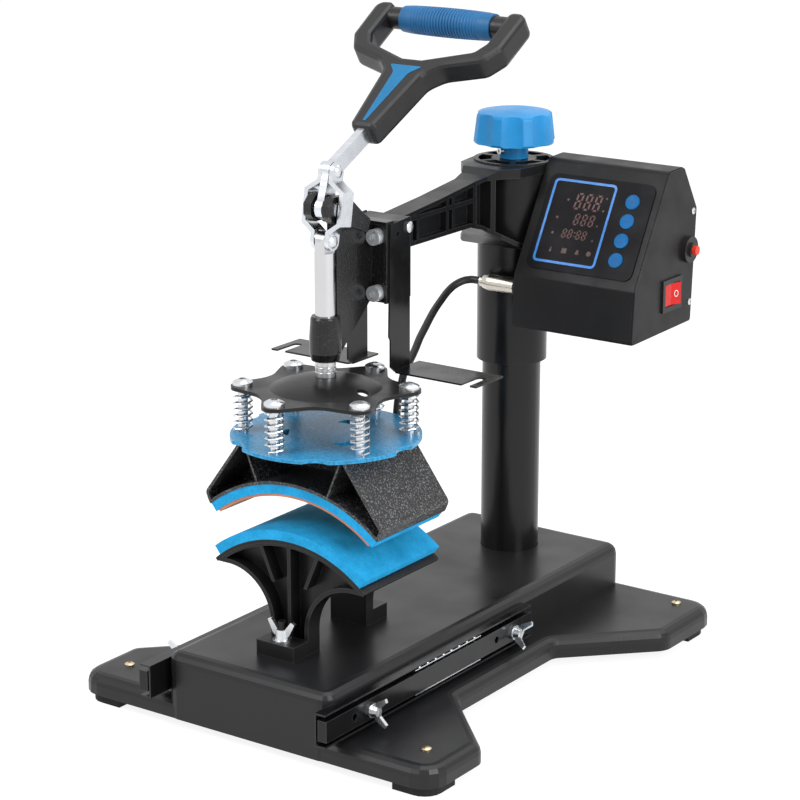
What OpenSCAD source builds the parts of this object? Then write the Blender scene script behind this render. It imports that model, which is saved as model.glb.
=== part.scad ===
// Swing-away cap heat press: curved heated head over a curved stand, toggle lever, lifting arm
// and slide rails.
// Millimetres. X to the right seen from the front, Y to the back, Z up. The origin is on the table,
// under the middle of the whole machine.

/* [Base] */
// Width over the splayed feet
base_w = 346; // [336:1:372]
// Length of the base shell from its front face to its rear edge
base_len = 434; // [426:1:450]
// Width of the raised centre box
box_w = 160; // [152:1:164]
// Height of the centre box above the table
box_top = 63; // [61:0.5:70]
// Height of the low foot plate above the table
wing_top = 25; // [23:0.5:30]
// Width of the foot plate at its waist
waist_w = 209; // [202:1:228]
// Wall of the base shell
shell_wall = 2.5; // [2:0.1:3.2]
// Rounding of the upper edges of the base shell
edge_r = 9; // [6:0.5:9.5]
// Length of the outer edge of each front foot
front_foot_len = 68; // [56:1:80]
// Length of the outer edge of each rear foot
rear_foot_len = 86; // [70:1:96]
// Height of the rubber pads
pad_h = 8; // [6:0.5:10]
// Length of each side of a rubber pad
pad_size = 34; // [30:1:40]

/* [Rails] */
// Height of a ball-bearing rail
rail_h = 27; // [25:0.5:29]
// Thickness of a rail, from the box side outwards
rail_t = 11; // [10:0.1:13]
// Length of a rail
rail_len = 285; // [270:1:310]
// How far the rails stand out in front of the base shell
rail_out = 18; // [12:1:24]
// Height of the rail's middle above the table
rail_z = 42.5; // [40:0.5:43.5]
// Wall of the rail profiles
rail_wall = 1.3; // [1:0.1:1.6]
// Diameter of the bearing balls
ball_d = 3.4; // [3:0.1:3.6]
// Balls in each row of a cage
ball_count = 8; // [5:1:9]

/* [Post and lift] */
// Diameter of the fixed post
post_d = 50; // [46:0.5:52]
// Wall of the post tube
post_wall = 3; // [2.5:0.1:4]
// Height of the top of the post
post_top = 356; // [345:1:358]
// Distance from the post's axis to the rear edge of the base
post_back = 62; // [56:1:70]
// Diameter of the sliding sleeve
sleeve_d = 60; // [57:0.5:62]
// Height of the lower end of the sleeve
sleeve_bottom = 232; // [215:1:250]
// How far the knob lifts the arm
lift_travel = 24; // [15:1:26]
// Diameter of the lifting screw
screw_d = 16; // [12:1:18]
// Diameter of the lifting knob
knob_d = 70; // [62:1:80]
// Height of the knob's lobed body
knob_h = 26; // [20:1:32]
// Number of lobes on the knob
knob_lobes = 8; // [6:1:10]

/* [Arm] */
// Distance from the post's axis to the press axis
arm_reach = 266; // [260:1:275]
// Diameter of the arm's hub
hub_d = 68; // [66:1:70]
// Height of the hub's lower end
hub_bottom = 335; // [325:1:342]
// Height of the hub's top
hub_top = 405; // [402:1:415]
// Width of the arm's beam
arm_w = 20; // [18:1:24]
// Height of the beam's top at its front end
arm_top = 386; // [384:1:388]
// Height of the beam's lower edge
arm_bottom = 360; // [354:1:364]
// Distance from the post's axis to the front face of the arm
flange_reach = 203; // [198:1:206]
// Width of the arm's end block and of the guide's flange
flange_w = 40; // [38:1:44]
// Thickness of the guide's flange
flange_t = 10; // [8:0.5:11]
// Height of the flange's lower edge
flange_bottom = 324; // [318:1:328]
// Height of the flange's upper edge
flange_top = 389; // [384:1:392]

/* [Toggle] */
// Height of the lever's fixed pivot
pivot_z = 407; // [404:0.5:409]
// Distance between the lever's pivot and the link pivot
crank_r = 29; // [28:0.5:31]
// Lean of the crank to the back when the press is open
crank_lean = 18; // [12:1:22]
// Distance between the two pivots of a link
link_len = 53.5; // [52:0.5:56]
// Turn of the lever from open to closed
lever_throw = 118; // [108:1:120]
// Thickness of the lever bar
lever_t = 6.5; // [5:0.5:7]
// Diameter of the pivot pins
pin_d = 8; // [7:0.5:9]
// Diameter of the press rod
rod_d = 16; // [14:0.5:17]
// Diameter of the guide barrel around the rod
barrel_d = 25; // [23:0.5:27]
// Length of the guide barrel
barrel_len = 35; // [28:1:38]
// Height of the guide barrel's lower end
barrel_bottom = 288; // [286:1:292]

/* [Handle] */
// Distance from the lever's pivot back to the grip
grip_back = 169; // [160:1:178]
// Height of the grip above the lever's pivot
grip_up = 121.6; // [114:1:130]
// Tilt of the handle yoke
yoke_tilt = 32; // [29:1:35]
// Distance from the grip's axis to the foot of the yoke
yoke_len = 138; // [130:1:142]
// Width over the yoke's arms
yoke_w = 144; // [136:1:156]
// Thickness of the yoke
yoke_t = 20; // [18:0.5:24]
// Length of the coloured grip sleeve
grip_len = 86; // [78:1:92]
// Diameter of the grip's bar
grip_bar_d = 18; // [16:0.5:19]
// Largest diameter of the grip sleeve
grip_d = 24; // [22:0.5:26]

/* [Stand] */
// Radius of the top of the stand's pad
pad_r = 117.5; // [112:0.5:122]
// Height of the top of the stand's pad
pad_apex = 161; // [158:0.5:162]
// Thickness of the stand's pad
pad_t = 8; // [6:0.5:9]
// Half of the angle that the pad covers
pad_half = 38.4; // [34:0.2:40]
// Depth of the stand's curved plate
stand_depth = 100; // [92:1:104]
// Thickness of the stand's curved plate
saddle_t = 3; // [2.5:0.1:4]
// Width of the stand's two legs
leg_w = 36; // [34:1:44]
// Thickness of the stand's rear leg
leg_t = 9; // [7:0.5:11]
// Height of the toe blocks
toe_h = 12; // [10:0.5:14]

/* [Head] */
// Depth of the heated head
head_depth = 90; // [84:1:96]
// Thickness of the orange heating mat
mat_t = 2; // [1.5:0.1:3]
// Half of the angle that the mat covers
mat_half = 37.6; // [34:0.2:38]
// Thickness of the foam layer above the mat
foam_t = 7.5; // [6:0.5:9]
// Height of the housing's flat top
housing_top = 226; // [224:0.5:230]
// Half width of the housing's top
housing_top_half = 49.5; // [46:0.5:56]
// Half width of the housing at its widest
housing_half = 85.7; // [83:0.5:90]
// Wall of the housing
housing_wall = 2.5; // [2:0.1:3.5]
// Diameter of the blue pressure plate
plate_d = 150; // [146:1:156]
// Thickness of the pressure plate and of the star plate
plate_t = 3; // [2.5:0.1:3.5]
// Radius of the circle of six guide bolts
bolt_circle_r = 65; // [62:0.5:66]
// Length of the springs between the two plates
spring_h = 34; // [30:0.5:36]
// Outer diameter of a spring
spring_d = 16; // [14.5:0.5:17]
// Wire of a spring
spring_wire = 1.8; // [1.4:0.1:2]
// Turns of a spring
spring_turns = 6; // [5:1:6]
// Diameter of a guide bolt
bolt_d = 8; // [7:0.5:8]

/* [Control box] */
// Left side of the control box, measured from the post's axis
case_x = 35; // [34.5:0.5:38]
// Width of the control box
case_w = 115; // [112:1:128]
// Sheet thickness of the control box
case_wall = 1.5; // [1.2:0.1:2]
// Diameter of the round keys
key_d = 12.5; // [11:0.5:14]
// Distance between the keys
key_pitch = 16.8; // [16:0.1:18]
// Diameter of the head cable
cable_d = 6.4; // [5:0.2:7]

/* [Hidden] */

$fn = 64;
fit = 0.06;            // radial running clearance of shafts and pins
seat = 0.05;           // radial clearance of fixed parts
slack = 0.3;           // clearance between parts that pass each other
tiny = 0.01;

y_rear = (base_len + rail_out) / 2;
y_front = y_rear - base_len;
post_y = y_rear - post_back;
press_y = post_y - arm_reach;

// Toggle positions on the plane x = 0, as [y, z]
pivot_1 = [press_y, pivot_z];
pivot_2 = pivot_1 + crank_r * [sin(crank_lean), cos(crank_lean)];
link_drop = sqrt(link_len ^ 2 - (crank_r * sin(crank_lean)) ^ 2);
pivot_3 = [press_y, pivot_2[1] - link_drop];
end_lean = crank_lean - lever_throw;
end_drop = crank_r * cos(end_lean) - sqrt(link_len ^ 2 - (crank_r * sin(end_lean)) ^ 2);
stroke = pivot_3[1] - pivot_z - end_drop;
link_turn = asin(crank_r * sin(crank_lean) / link_len) - asin(crank_r * sin(end_lean) / link_len);
echo(stroke_mm = stroke, link_turn_deg = link_turn, pivot_2 = pivot_2, pivot_3 = pivot_3);

// Stand and head curves share one centre line; the head closes to a small gap above the pad
pad_cz = pad_apex - pad_r;
closed_gap = 0.7;
mat_r = pad_r + 0.5;
mat_cz = pad_apex + stroke + closed_gap - mat_r;
foam_r = mat_r + mat_t;
arch_r = foam_r + foam_t;
plate_top = housing_top + plate_t;
star_bottom = plate_top + spring_h;
star_top = star_bottom + plate_t;

// Rounded outlines: an arc at each corner, moved inwards by inset
function unit(v) = v / norm(v);
function side_normal(a, b) = let (d = unit(b - a)) [d[1], -d[0]];
function corner_arc(a, b, c, r, inset, steps) =
    let (
        turn = sign(cross(b - a, c - b)),
        u = unit(a - b),
        w = unit(c - b),
        half = acos(u * w) / 2,
        centre = b + unit(u + w) * r / sin(half),
        from = turn * side_normal(a, b),
        to = turn * side_normal(b, c),
        start = atan2(from[1], from[0]),
        sweep = atan2(cross(from, to), from * to)
    )
    [for (i = [0:steps]) let (t = start + sweep * i / steps)
        centre + (r - turn * inset) * [cos(t), sin(t)]];
function rounded(points, radii, inset = 0, steps = 5) =
    let (n = len(points))
    [for (i = [0:n - 1])
        each corner_arc(points[(i + n - 1) % n], points[i], points[(i + 1) % n], radii[i], inset, steps)];
function mirrored(points) =
    concat(points, [for (i = [len(points) - 1:-1:0]) [-points[i][0], points[i][1]]]);
function mirrored_list(values) = concat(values, [for (i = [len(values) - 1:-1:0]) values[i]]);

// Solid through a stack of equal outlines, each with its height
module loft(outlines, heights) {
    n = len(outlines[0]);
    m = len(outlines);
    points = [for (k = [0:m - 1]) for (p = outlines[k]) [p[0], p[1], heights[k]]];
    sides = [for (k = [0:m - 2]) for (i = [0:n - 1]) let (j = (i + 1) % n)
        each [[k * n + i, (k + 1) * n + j, k * n + j], [k * n + i, (k + 1) * n + i, (k + 1) * n + j]]];
    polyhedron(concat(points), concat(sides, [[for (i = [0:n - 1]) i]],
        [[for (i = [n - 1:-1:0]) (m - 1) * n + i]]));
}

// The same solid with both ends cut square, so that each end is one flat face
over = 1;
module clean_loft(outlines, heights) {
    last = len(outlines) - 1;
    bound = 400;
    intersection() {
        loft(concat([outlines[0]], outlines, [outlines[last]]),
            concat([heights[0] - over], heights, [heights[last] + over]));
        translate([-bound, -bound, heights[0]]) cube([2 * bound, 2 * bound, heights[last] - heights[0]]);
    }
}

// Tube swept along points, with square ends
function tangent(path, i) = unit(path[min(i + 1, len(path) - 1)] - path[max(i - 1, 0)]);
function frame_side(t, up) = unit(cross(up, t));
module tube(path, d, sides, up = [0, 0, 1], thinner = 0) {
    n = len(path);
    rings = [for (i = [0:n - 1]) let (
            t = tangent(path, i),
            a = frame_side(t, up),
            b = cross(t, a),
            r = (d - thinner * i / (n - 1)) / 2
        ) for (k = [0:sides - 1]) path[i] + r * (cos(360 * k / sides) * a + sin(360 * k / sides) * b)];
    skin = [for (i = [0:n - 2]) for (k = [0:sides - 1]) let (j = (k + 1) % sides)
        each [[i * sides + k, (i + 1) * sides + j, i * sides + j],
              [i * sides + k, (i + 1) * sides + k, (i + 1) * sides + j]]];
    polyhedron(rings, concat(skin, [[for (k = [0:sides - 1]) k]],
        [[for (k = [sides - 1:-1:0]) (n - 1) * sides + k]]));
}

// Short forms for directions
module along_x() { rotate([0, 90, 0]) children(); }
module along_y() { rotate([90, 0, 0]) children(); }
module side_profile(x0, x1) {
    translate([x0, 0, 0]) rotate([90, 0, 90]) linear_extrude(x1 - x0) children();
}
module front_profile(y0, y1) {
    translate([0, y1, 0]) rotate([90, 0, 0]) linear_extrude(y1 - y0) children();
}
module both_sides() {
    children();
    mirror([1, 0, 0]) children();
}
// Screw with its head above z = 0 and a hexagon recess
module socket_screw(d, length, head_d, head_h) {
    difference() {
        union() {
            cylinder(d = head_d, h = head_h);
            translate([0, 0, -length]) cylinder(d = d, h = length + tiny);
        }
        translate([0, 0, head_h * 0.45]) cylinder(d = head_d * 0.5, h = head_h, $fn = 6);
    }
}
// Screw with a low domed head
module pan_screw(d, length, head_d, head_h) {
    difference() {
        union() {
            rotate_extrude() intersection() {
                translate([0, head_h - head_d * 0.8]) circle(r = head_d * 0.8);
                square([head_d / 2, head_h]);
            }
            translate([0, 0, -length]) cylinder(d = d, h = length + tiny);
        }
        translate([0, 0, head_h * 0.45]) cylinder(d = head_d * 0.38, h = head_h, $fn = 6);
    }
}
// Wings of a wing nut, spread along X around z = 0
module wings(span, height, thick) {
    along_y() linear_extrude(thick, center = true) polygon([
        [-span / 2, height], [-span / 2 + height * 0.28, height * 1.12], [-span * 0.14, height * 0.5],
        [span * 0.14, height * 0.5], [span / 2 - height * 0.28, height * 1.12], [span / 2, height],
        [span * 0.3, height * 0.15], [span * 0.2, 0], [-span * 0.2, 0], [-span * 0.3, height * 0.15]
    ]);
}

// Base shell
foot_half = base_w / 2;
waist_half = waist_w / 2;
foot_taper = 69;
foot_step = 0.6;
plate_right = [
    [foot_half, y_front + foot_step], [foot_half, y_front + front_foot_len],
    [waist_half, y_front + front_foot_len + foot_taper],
    [waist_half, y_rear - rear_foot_len - foot_taper],
    [foot_half, y_rear - rear_foot_len], [foot_half, y_rear]
];
plate_points = mirrored(plate_right);
plate_radii = mirrored_list([20, 14, 10, 12, 18, 20]);
box_back_set = 5;
box_points = mirrored([[box_w / 2, y_front], [box_w / 2, y_rear - box_back_set]]);
box_corner_r = 11;
box_radii = [box_corner_r, box_corner_r, box_corner_r, box_corner_r];
edge_steps = 4;
edge_insets = concat([0], [for (i = [0:edge_steps]) edge_r * (1 - cos(90 * i / edge_steps))]);
function edge_heights(top) =
    concat([pad_h], [for (i = [0:edge_steps]) top - edge_r * (1 - sin(90 * i / edge_steps))]);
upper_inset = edge_r * 0.65;
// Block with straight sides and a rounded upper edge
module rounded_block(points, radii, top) {
    clean_loft([for (d = edge_insets) rounded(points, radii, d, 4)], edge_heights(top));
}
// Hollow of such a block, open below
module block_hollow(points, radii, top) {
    translate([0, 0, pad_h - 1]) linear_extrude(top - edge_r - pad_h + 1)
        polygon(rounded(points, radii, shell_wall, 4));
    translate([0, 0, pad_h - 1]) linear_extrude(top - shell_wall - pad_h + 1)
        polygon(rounded(points, radii, upper_inset, 4));
}
pad_inset = 5;
foot_screw_d = 4;
foot_screw_x = foot_half - 27;
foot_screw_front = y_front + 33;
foot_screw_rear = y_rear - 22;
boss_d = 16;
module at_foot_screws() {
    for (x = [-1, 1]) for (y = [foot_screw_front, foot_screw_rear]) translate([x * foot_screw_x, y, 0])
        children();
}
rail_screw_y = [y_front + 18, y_front + 213];
rail_screw_d = 4;
module base_shell() color([0.13, 0.13, 0.14]) {
    difference() {
        union() {
            rounded_block(plate_points, plate_radii, wing_top);
            rounded_block(box_points, box_radii, box_top);
        }
        difference() {
            union() {
                block_hollow(plate_points, plate_radii, wing_top);
                block_hollow(box_points, box_radii, box_top);
            }
            at_foot_screws() cylinder(d = boss_d, h = wing_top);
        }
        at_foot_screws() translate([0, 0, -1]) cylinder(d = foot_screw_d + 0.4, h = wing_top + 2);
        translate([0, post_y, box_top - shell_wall - 1])
            cylinder(d = post_d + 2 * slack, h = shell_wall + 2);
        at_studs() translate([0, 0, box_top - shell_wall - 1])
            cylinder(d = stud_d + 0.4, h = shell_wall + 2);
        both_sides() rail_side(1) for (y = rail_screw_y)
            translate([-shell_wall - 1, y, 0]) along_x()
                cylinder(d = rail_screw_d + 0.4, h = shell_wall + 2);
    }
}
module rubber_feet() color([0.06, 0.06, 0.06]) {
    for (x = [-1, 1]) for (rear = [0, 1]) difference() {
        intersection() {
            linear_extrude(pad_h) polygon(rounded(plate_points, plate_radii, pad_inset));
            translate([x > 0 ? foot_half - pad_inset - pad_size : -foot_half + pad_inset,
                rear == 1 ? y_rear - pad_inset - pad_size : y_front + pad_inset, 0])
                cube([pad_size, pad_size, pad_h]);
        }
        translate([x * foot_screw_x, rear == 1 ? foot_screw_rear : foot_screw_front, pad_h / 2])
            cylinder(d = foot_screw_d + 0.2, h = pad_h);
    }
}
rail_nut_h = 3.2;
module base_screws() color([0.75, 0.68, 0.5]) {
    at_foot_screws() translate([0, 0, wing_top]) pan_screw(foot_screw_d, wing_top - pad_h / 2 - 1, 8, 2.6);
    both_sides() rail_side(1) for (y = rail_screw_y) {
        translate([rail_wall, y, 0]) along_x() pan_screw(rail_screw_d, rail_wall + shell_wall + 4, 7, 1.4);
        translate([-shell_wall - rail_nut_h, y, 0]) along_x() difference() {
            cylinder(d = 8, h = rail_nut_h, $fn = 6);
            translate([0, 0, -1]) cylinder(d = rail_screw_d + 2 * seat, h = rail_nut_h + 2);
        }
    }
}

// Post with its welded foot plate, and the nut for the lifting screw
post_plate_t = 5;
post_plate_w = 110;
post_foot = box_top - shell_wall - post_plate_t;
module post_tube() color([0.1, 0.1, 0.1]) {
    difference() {
        union() {
            translate([-post_plate_w / 2, post_y - 45, post_foot]) cube([post_plate_w, 90, post_plate_t]);
            translate([0, post_y, post_foot + tiny]) cylinder(d = post_d, h = post_top - post_foot - tiny);
        }
        translate([0, post_y, post_foot - 1]) cylinder(d = post_d - 2 * post_wall, h = post_top);
    }
}
stud_foot_h = 4;
module stand_studs() color([0.15, 0.15, 0.15]) {
    at_studs() {
        translate([0, 0, box_top - shell_wall - stud_foot_h]) cylinder(d = 13, h = stud_foot_h, $fn = 6);
        translate([0, 0, box_top - shell_wall - tiny]) cylinder(d = stud_d, h = shell_wall + toe_h + 16);
    }
}
nut_flange_h = 4;
nut_len = 30;
module screw_nut() color([0.72, 0.58, 0.3]) {
    translate([0, post_y, post_top]) difference() {
        union() {
            cylinder(d = post_d - 1, h = nut_flange_h);
            translate([0, 0, -nut_len]) cylinder(d = post_d - 2 * post_wall - 2 * seat, h = nut_len + tiny);
        }
        translate([0, 0, -nut_len - 1]) cylinder(d = screw_d + 2 * fit, h = nut_len + nut_flange_h + 2);
    }
}

// Ball-bearing rails: outer profile, ball cage and inner profile, seen along Y as [outwards, up]
rail_y0 = y_front - rail_out;
rail_y1 = rail_y0 + rail_len;
outer_half = rail_h / 2;
race_z = outer_half - rail_wall - slack - ball_d / 2;
inner_half = race_z - ball_d / 2 - 0.1;
rail_depth = rail_t - 1.2;
ball_x = rail_depth - ball_d / 2 - 0.6;
cage_t = 0.8;
cage_pitch = 11;
cage_len = cage_pitch * ball_count + 4;
cage_y0 = press_y - 6;
cage_in = rail_wall + 0.3;
cage_out = ball_x + ball_d / 2 + 0.2;
module rail_side(side) {
    if (side > 0) translate([box_w / 2, 0, rail_z]) children();
    else mirror([1, 0, 0]) translate([box_w / 2, 0, rail_z]) children();
}
module rail_outer(side) color([0.16, 0.16, 0.17]) rail_side(side) {
    difference() {
        front_profile(rail_y0, rail_y1) difference() {
            translate([0, -outer_half]) square([rail_depth, rail_h]);
            translate([rail_wall, -outer_half + rail_wall]) square([rail_depth, rail_h - 2 * rail_wall]);
        }
        for (y = rail_screw_y) translate([-1, y, 0]) along_x() cylinder(d = rail_screw_d + 0.4, h = 4);
    }
}
inner_x = rail_wall + 1.6;
stop_t = 2;
module inner_bar() {
    translate([inner_x, -inner_half]) square([rail_t - inner_x, 2 * inner_half]);
}
module rail_inner(side) color([0.2, 0.2, 0.21]) rail_side(side) {
    front_profile(rail_y0, rail_y0 + stop_t) inner_bar();
    difference() {
        front_profile(rail_y0, rail_y1 - 2) difference() {
            inner_bar();
            translate([0, -inner_half + rail_wall])
                square([rail_t - rail_wall, 2 * (inner_half - rail_wall)]);
        }
        for (y = wing_screw_y) translate([0, y, 0]) along_x()
            cylinder(d = wing_screw_d + 0.2, h = rail_t + 2);
        for (y = rail_screw_y) translate([0, y, 0]) along_x() cylinder(d = rail_hole_d, h = rail_t + 2);
    }
}
module ball_cage(side) color([0.8, 0.8, 0.82]) rail_side(side) {
    difference() {
        front_profile(cage_y0, cage_y0 + cage_len) union() {
            for (s = [-1, 1]) translate([cage_in, s * race_z - cage_t / 2])
                square([cage_out - cage_in, cage_t]);
            translate([cage_in, -race_z]) square([cage_t, 2 * race_z]);
        }
        for (i = [0:ball_count - 1]) for (s = [-1, 1])
            translate([ball_x, cage_y0 + cage_pitch * (i + 0.68), s * race_z - 2])
                cylinder(d = ball_d + 0.2, h = 4);
    }
    for (i = [0:ball_count - 1]) for (s = [-1, 1])
        translate([ball_x, cage_y0 + cage_pitch * (i + 0.68), s * race_z]) sphere(d = ball_d, $fn = 24);
}
wing_screw_y = [y_front + 37, y_front + 236];
wing_screw_d = 5;
rail_hole_d = 6;
spacer_h = 3.5;
wing_body_h = 5;
module wing_screws(side) rail_side(side) for (i = [0, 1]) translate([rail_t, wing_screw_y[i], 0])
    along_x() {
    color([0.1, 0.1, 0.1]) difference() {
        cylinder(d = 12, h = spacer_h);
        translate([0, 0, -1]) cylinder(d = wing_screw_d + 2 * seat, h = spacer_h + 2);
    }
    color([0.85, 0.85, 0.86]) {
        translate([0, 0, -rail_wall - 2]) cylinder(d = wing_screw_d, h = spacer_h + rail_wall + 3);
        translate([0, 0, spacer_h]) cylinder(d1 = 10, d2 = 8, h = wing_body_h);
        translate([0, 0, spacer_h + 1.5]) rotate(-35 * i) wings(24, 10, 2.8);
    }
}

// Stand: curved plate on two legs, held to the box by studs and wing nuts
saddle_r = pad_r - pad_t;
stand_y0 = press_y - stand_depth / 2;
stand_y1 = press_y + stand_depth / 2;
front_leg_y0 = stand_y0 + 0.5;
front_leg_t = 15;
leg_rim = 3.5;
leg_back = 3;
rear_leg_y1 = stand_y1 - 13;
toe_out = 19;
stud_d = 6;
stand_front = front_leg_y0 - toe_out / 2;
stand_rear = rear_leg_y1 + toe_out / 2;
saddle_half = pad_half + 3.2;
flare_r = 42;
flare_z = pad_cz + saddle_r * cos(saddle_half) - 2;
saddle_end = (saddle_r - saddle_t) * sin(saddle_half);
module arc_band(r0, r1, half, cz) {
    difference() {
        intersection() {
            translate([0, cz]) circle(r = r1, $fn = 180);
            translate([0, cz]) polygon([[0, 0], [2 * r1 * sin(-half), 2 * r1 * cos(half)],
                [2 * r1 * sin(half), 2 * r1 * cos(half)]]);
        }
        translate([0, cz]) circle(r = r0, $fn = 180);
    }
}
module leg_profile() {
    difference() {
        intersection() {
            translate([0, pad_cz]) circle(r = saddle_r - saddle_t / 2, $fn = 180);
            translate([-saddle_r, box_top]) square([2 * saddle_r, pad_apex]);
        }
        for (s = [-1, 1]) {
            translate([s * (leg_w / 2 + flare_r), flare_z - flare_r]) circle(r = flare_r, $fn = 96);
            translate([s > 0 ? leg_w / 2 : -leg_w / 2 - 2 * flare_r, box_top - 1])
                square([2 * flare_r, flare_z - flare_r - box_top + 1]);
            translate([s > 0 ? leg_w / 2 + flare_r : -leg_w / 2 - 3 * flare_r, box_top - 1])
                square([2 * flare_r, flare_z - box_top + 1]);
            translate([s > 0 ? saddle_end : -2 * saddle_end, box_top - 1]) square([saddle_end, pad_apex]);
        }
    }
}
rib_t = 5;
leg_rib_t = 3;
// Ribs in the open front of the leg: an upright one and two slanted ones
module leg_ribs() {
    translate([-leg_rib_t / 2, box_top]) square([leg_rib_t, pad_apex - box_top]);
    for (s = [-1, 1]) polygon([
        [s * 27, flare_z + 24], [s * (27 + leg_rib_t), flare_z + 24],
        [s * (14 + leg_rib_t), flare_z - 6], [s * 14, flare_z - 6]
    ]);
}
module stand_casting() color([0.12, 0.12, 0.12]) {
    front_profile(stand_y0, stand_y1) arc_band(saddle_r - saddle_t, saddle_r, saddle_half, pad_cz);
    difference() {
        front_profile(front_leg_y0, front_leg_y0 + front_leg_t) leg_profile();
        front_profile(front_leg_y0 - 1, front_leg_y0 + front_leg_t - leg_back) difference() {
            offset(delta = -leg_rim) leg_profile();
            leg_ribs();
        }
    }
    front_profile(rear_leg_y1 - leg_t, rear_leg_y1) leg_profile();
    side_profile(-rib_t / 2, rib_t / 2) polygon([
        [front_leg_y0 + front_leg_t - 1, flare_z - 14], [(stand_y0 + stand_y1) / 2, flare_z + 2],
        [rear_leg_y1 - leg_t + 1, flare_z - 14],
        [rear_leg_y1 - leg_t + 1, pad_cz + saddle_r - saddle_t / 2],
        [front_leg_y0 + front_leg_t - 1, pad_cz + saddle_r - saddle_t / 2]
    ]);
    difference() {
        for (y = [front_leg_y0 - toe_out, rear_leg_y1 - 1])
            translate([-leg_w / 2, y, box_top]) cube([leg_w, toe_out + 1, toe_h]);
        for (y = [stand_front, stand_rear]) translate([0, y, box_top - 1])
            cylinder(d = stud_d + 0.4, h = toe_h + 2);
    }
}
module stand_pad() color([0.2, 0.62, 0.9]) {
    front_profile(stand_y0, stand_y1) arc_band(saddle_r, pad_r, pad_half, pad_cz);
}
module at_studs() {
    for (y = [stand_front, stand_rear]) translate([0, y, 0]) children();
}
module stand_wing_nuts() color([0.85, 0.85, 0.86]) {
    at_studs() translate([0, 0, box_top + toe_h]) difference() {
        union() {
            cylinder(d = 15, h = 1.4);
            translate([0, 0, 1.4]) cylinder(d1 = 11, d2 = 9, h = 8);
            translate([0, 0, 3.4]) wings(26, 12, 3);
        }
        translate([0, 0, -1]) cylinder(d = stud_d + 2 * seat, h = 30);
    }
}

// Lifting screw, its bearing inside the hub, and the knob
bearing_h = 6;
collar_h = 3;
hub_plate_t = 20;
hub_boss_d = 38;
hub_roof = hub_top - hub_plate_t;
knob_stem_h = 13;
knob_stem_d = 24;
knob_z = hub_top + slack + knob_stem_h;
screw_low = post_top - nut_len - 6;
screw_top = knob_z + knob_h - 10;
module thrust_bearing() color([0.75, 0.75, 0.77]) {
    translate([0, post_y, hub_roof - bearing_h]) difference() {
        cylinder(d = 32, h = bearing_h);
        translate([0, 0, -1]) cylinder(d = screw_d + 2 * fit, h = bearing_h + 2);
        rotate_extrude() translate([12, bearing_h / 2]) circle(r = 1.6, $fn = 24);
    }
}
module lead_screw() color([0.7, 0.7, 0.72]) {
    translate([0, post_y, 0]) {
        difference() {
            translate([0, 0, screw_low]) cylinder(d = screw_d, h = screw_top - screw_low);
            translate([0, 0, screw_low - 1]) cylinder(d = 5, h = 12);
        }
        translate([0, 0, hub_roof - bearing_h - collar_h]) cylinder(d = 26, h = collar_h);
    }
}
set_screw_z = knob_z - knob_stem_h / 2;
set_screw_d = 5;
set_screw_turn = -115;
knob_edge = 4;
knob_taper = 2.5;
knob_crown = 3;
knob_crown_half = knob_d / 2 - knob_taper - knob_edge;
knob_crown_r = (knob_crown_half ^ 2 + knob_crown ^ 2) / (2 * knob_crown);
flute_r = 20;
flute_depth = 3;
flute_turn = 30;
flute_lean = atan(knob_taper / knob_h);
module knob_body() {
    rotate_extrude($fn = 96) intersection() {
        translate([0, knob_h + knob_crown - knob_crown_r]) circle(r = knob_crown_r, $fn = 360);
        polygon(concat([[0, 0], [knob_d / 2 - 1.5, 0], [knob_d / 2, 2]],
            [for (a = [0:22.5:90]) [knob_crown_half, knob_h - knob_edge] + knob_edge * [cos(a), sin(a)]],
            [[knob_crown_half, knob_h + knob_crown], [0, knob_h + knob_crown]]));
    }
}
module lift_knob() color([0.16, 0.5, 0.85]) {
    translate([0, post_y, 0]) difference() {
        union() {
            translate([0, 0, knob_z - knob_stem_h]) cylinder(d = knob_stem_d, h = knob_stem_h + 1);
            translate([0, 0, knob_z]) difference() {
                knob_body();
                for (i = [0:knob_lobes - 1]) rotate(360 * i / knob_lobes + flute_turn)
                    translate([knob_d / 2 + flute_r - flute_depth, 0, -5]) rotate([0, -flute_lean, 0])
                        cylinder(r = flute_r, h = knob_h + 20);
            }
        }
        translate([0, 0, knob_z - knob_stem_h - 1])
            cylinder(d = screw_d + 2 * seat, h = screw_top - knob_z + knob_stem_h + 1);
        translate([0, 0, set_screw_z]) rotate(set_screw_turn) along_x()
            cylinder(d = set_screw_d + 2 * seat, h = knob_stem_d);
    }
}
module knob_set_screw() color([0.85, 0.85, 0.86]) {
    deep = (knob_stem_d - screw_d) / 2;
    translate([0, post_y, set_screw_z]) rotate(set_screw_turn) translate([screw_d / 2, 0, 0]) along_x()
        difference() {
            union() {
                cylinder(d = set_screw_d, h = deep + 1);
                translate([0, 0, deep]) cylinder(d = 6.5, h = 3);
            }
            translate([0, 0, deep + 1.5]) cylinder(d = 3, h = 4, $fn = 6);
        }
}

// Arm casting with pockets, hub and end block
flange_y = post_y - flange_reach;
end_block_t = 23;
end_y = flange_y + end_block_t;
arm_web = 7;
arm_rim = 3.5;
mid_rib_z = 382;
mid_rib_t = 3.5;
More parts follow.
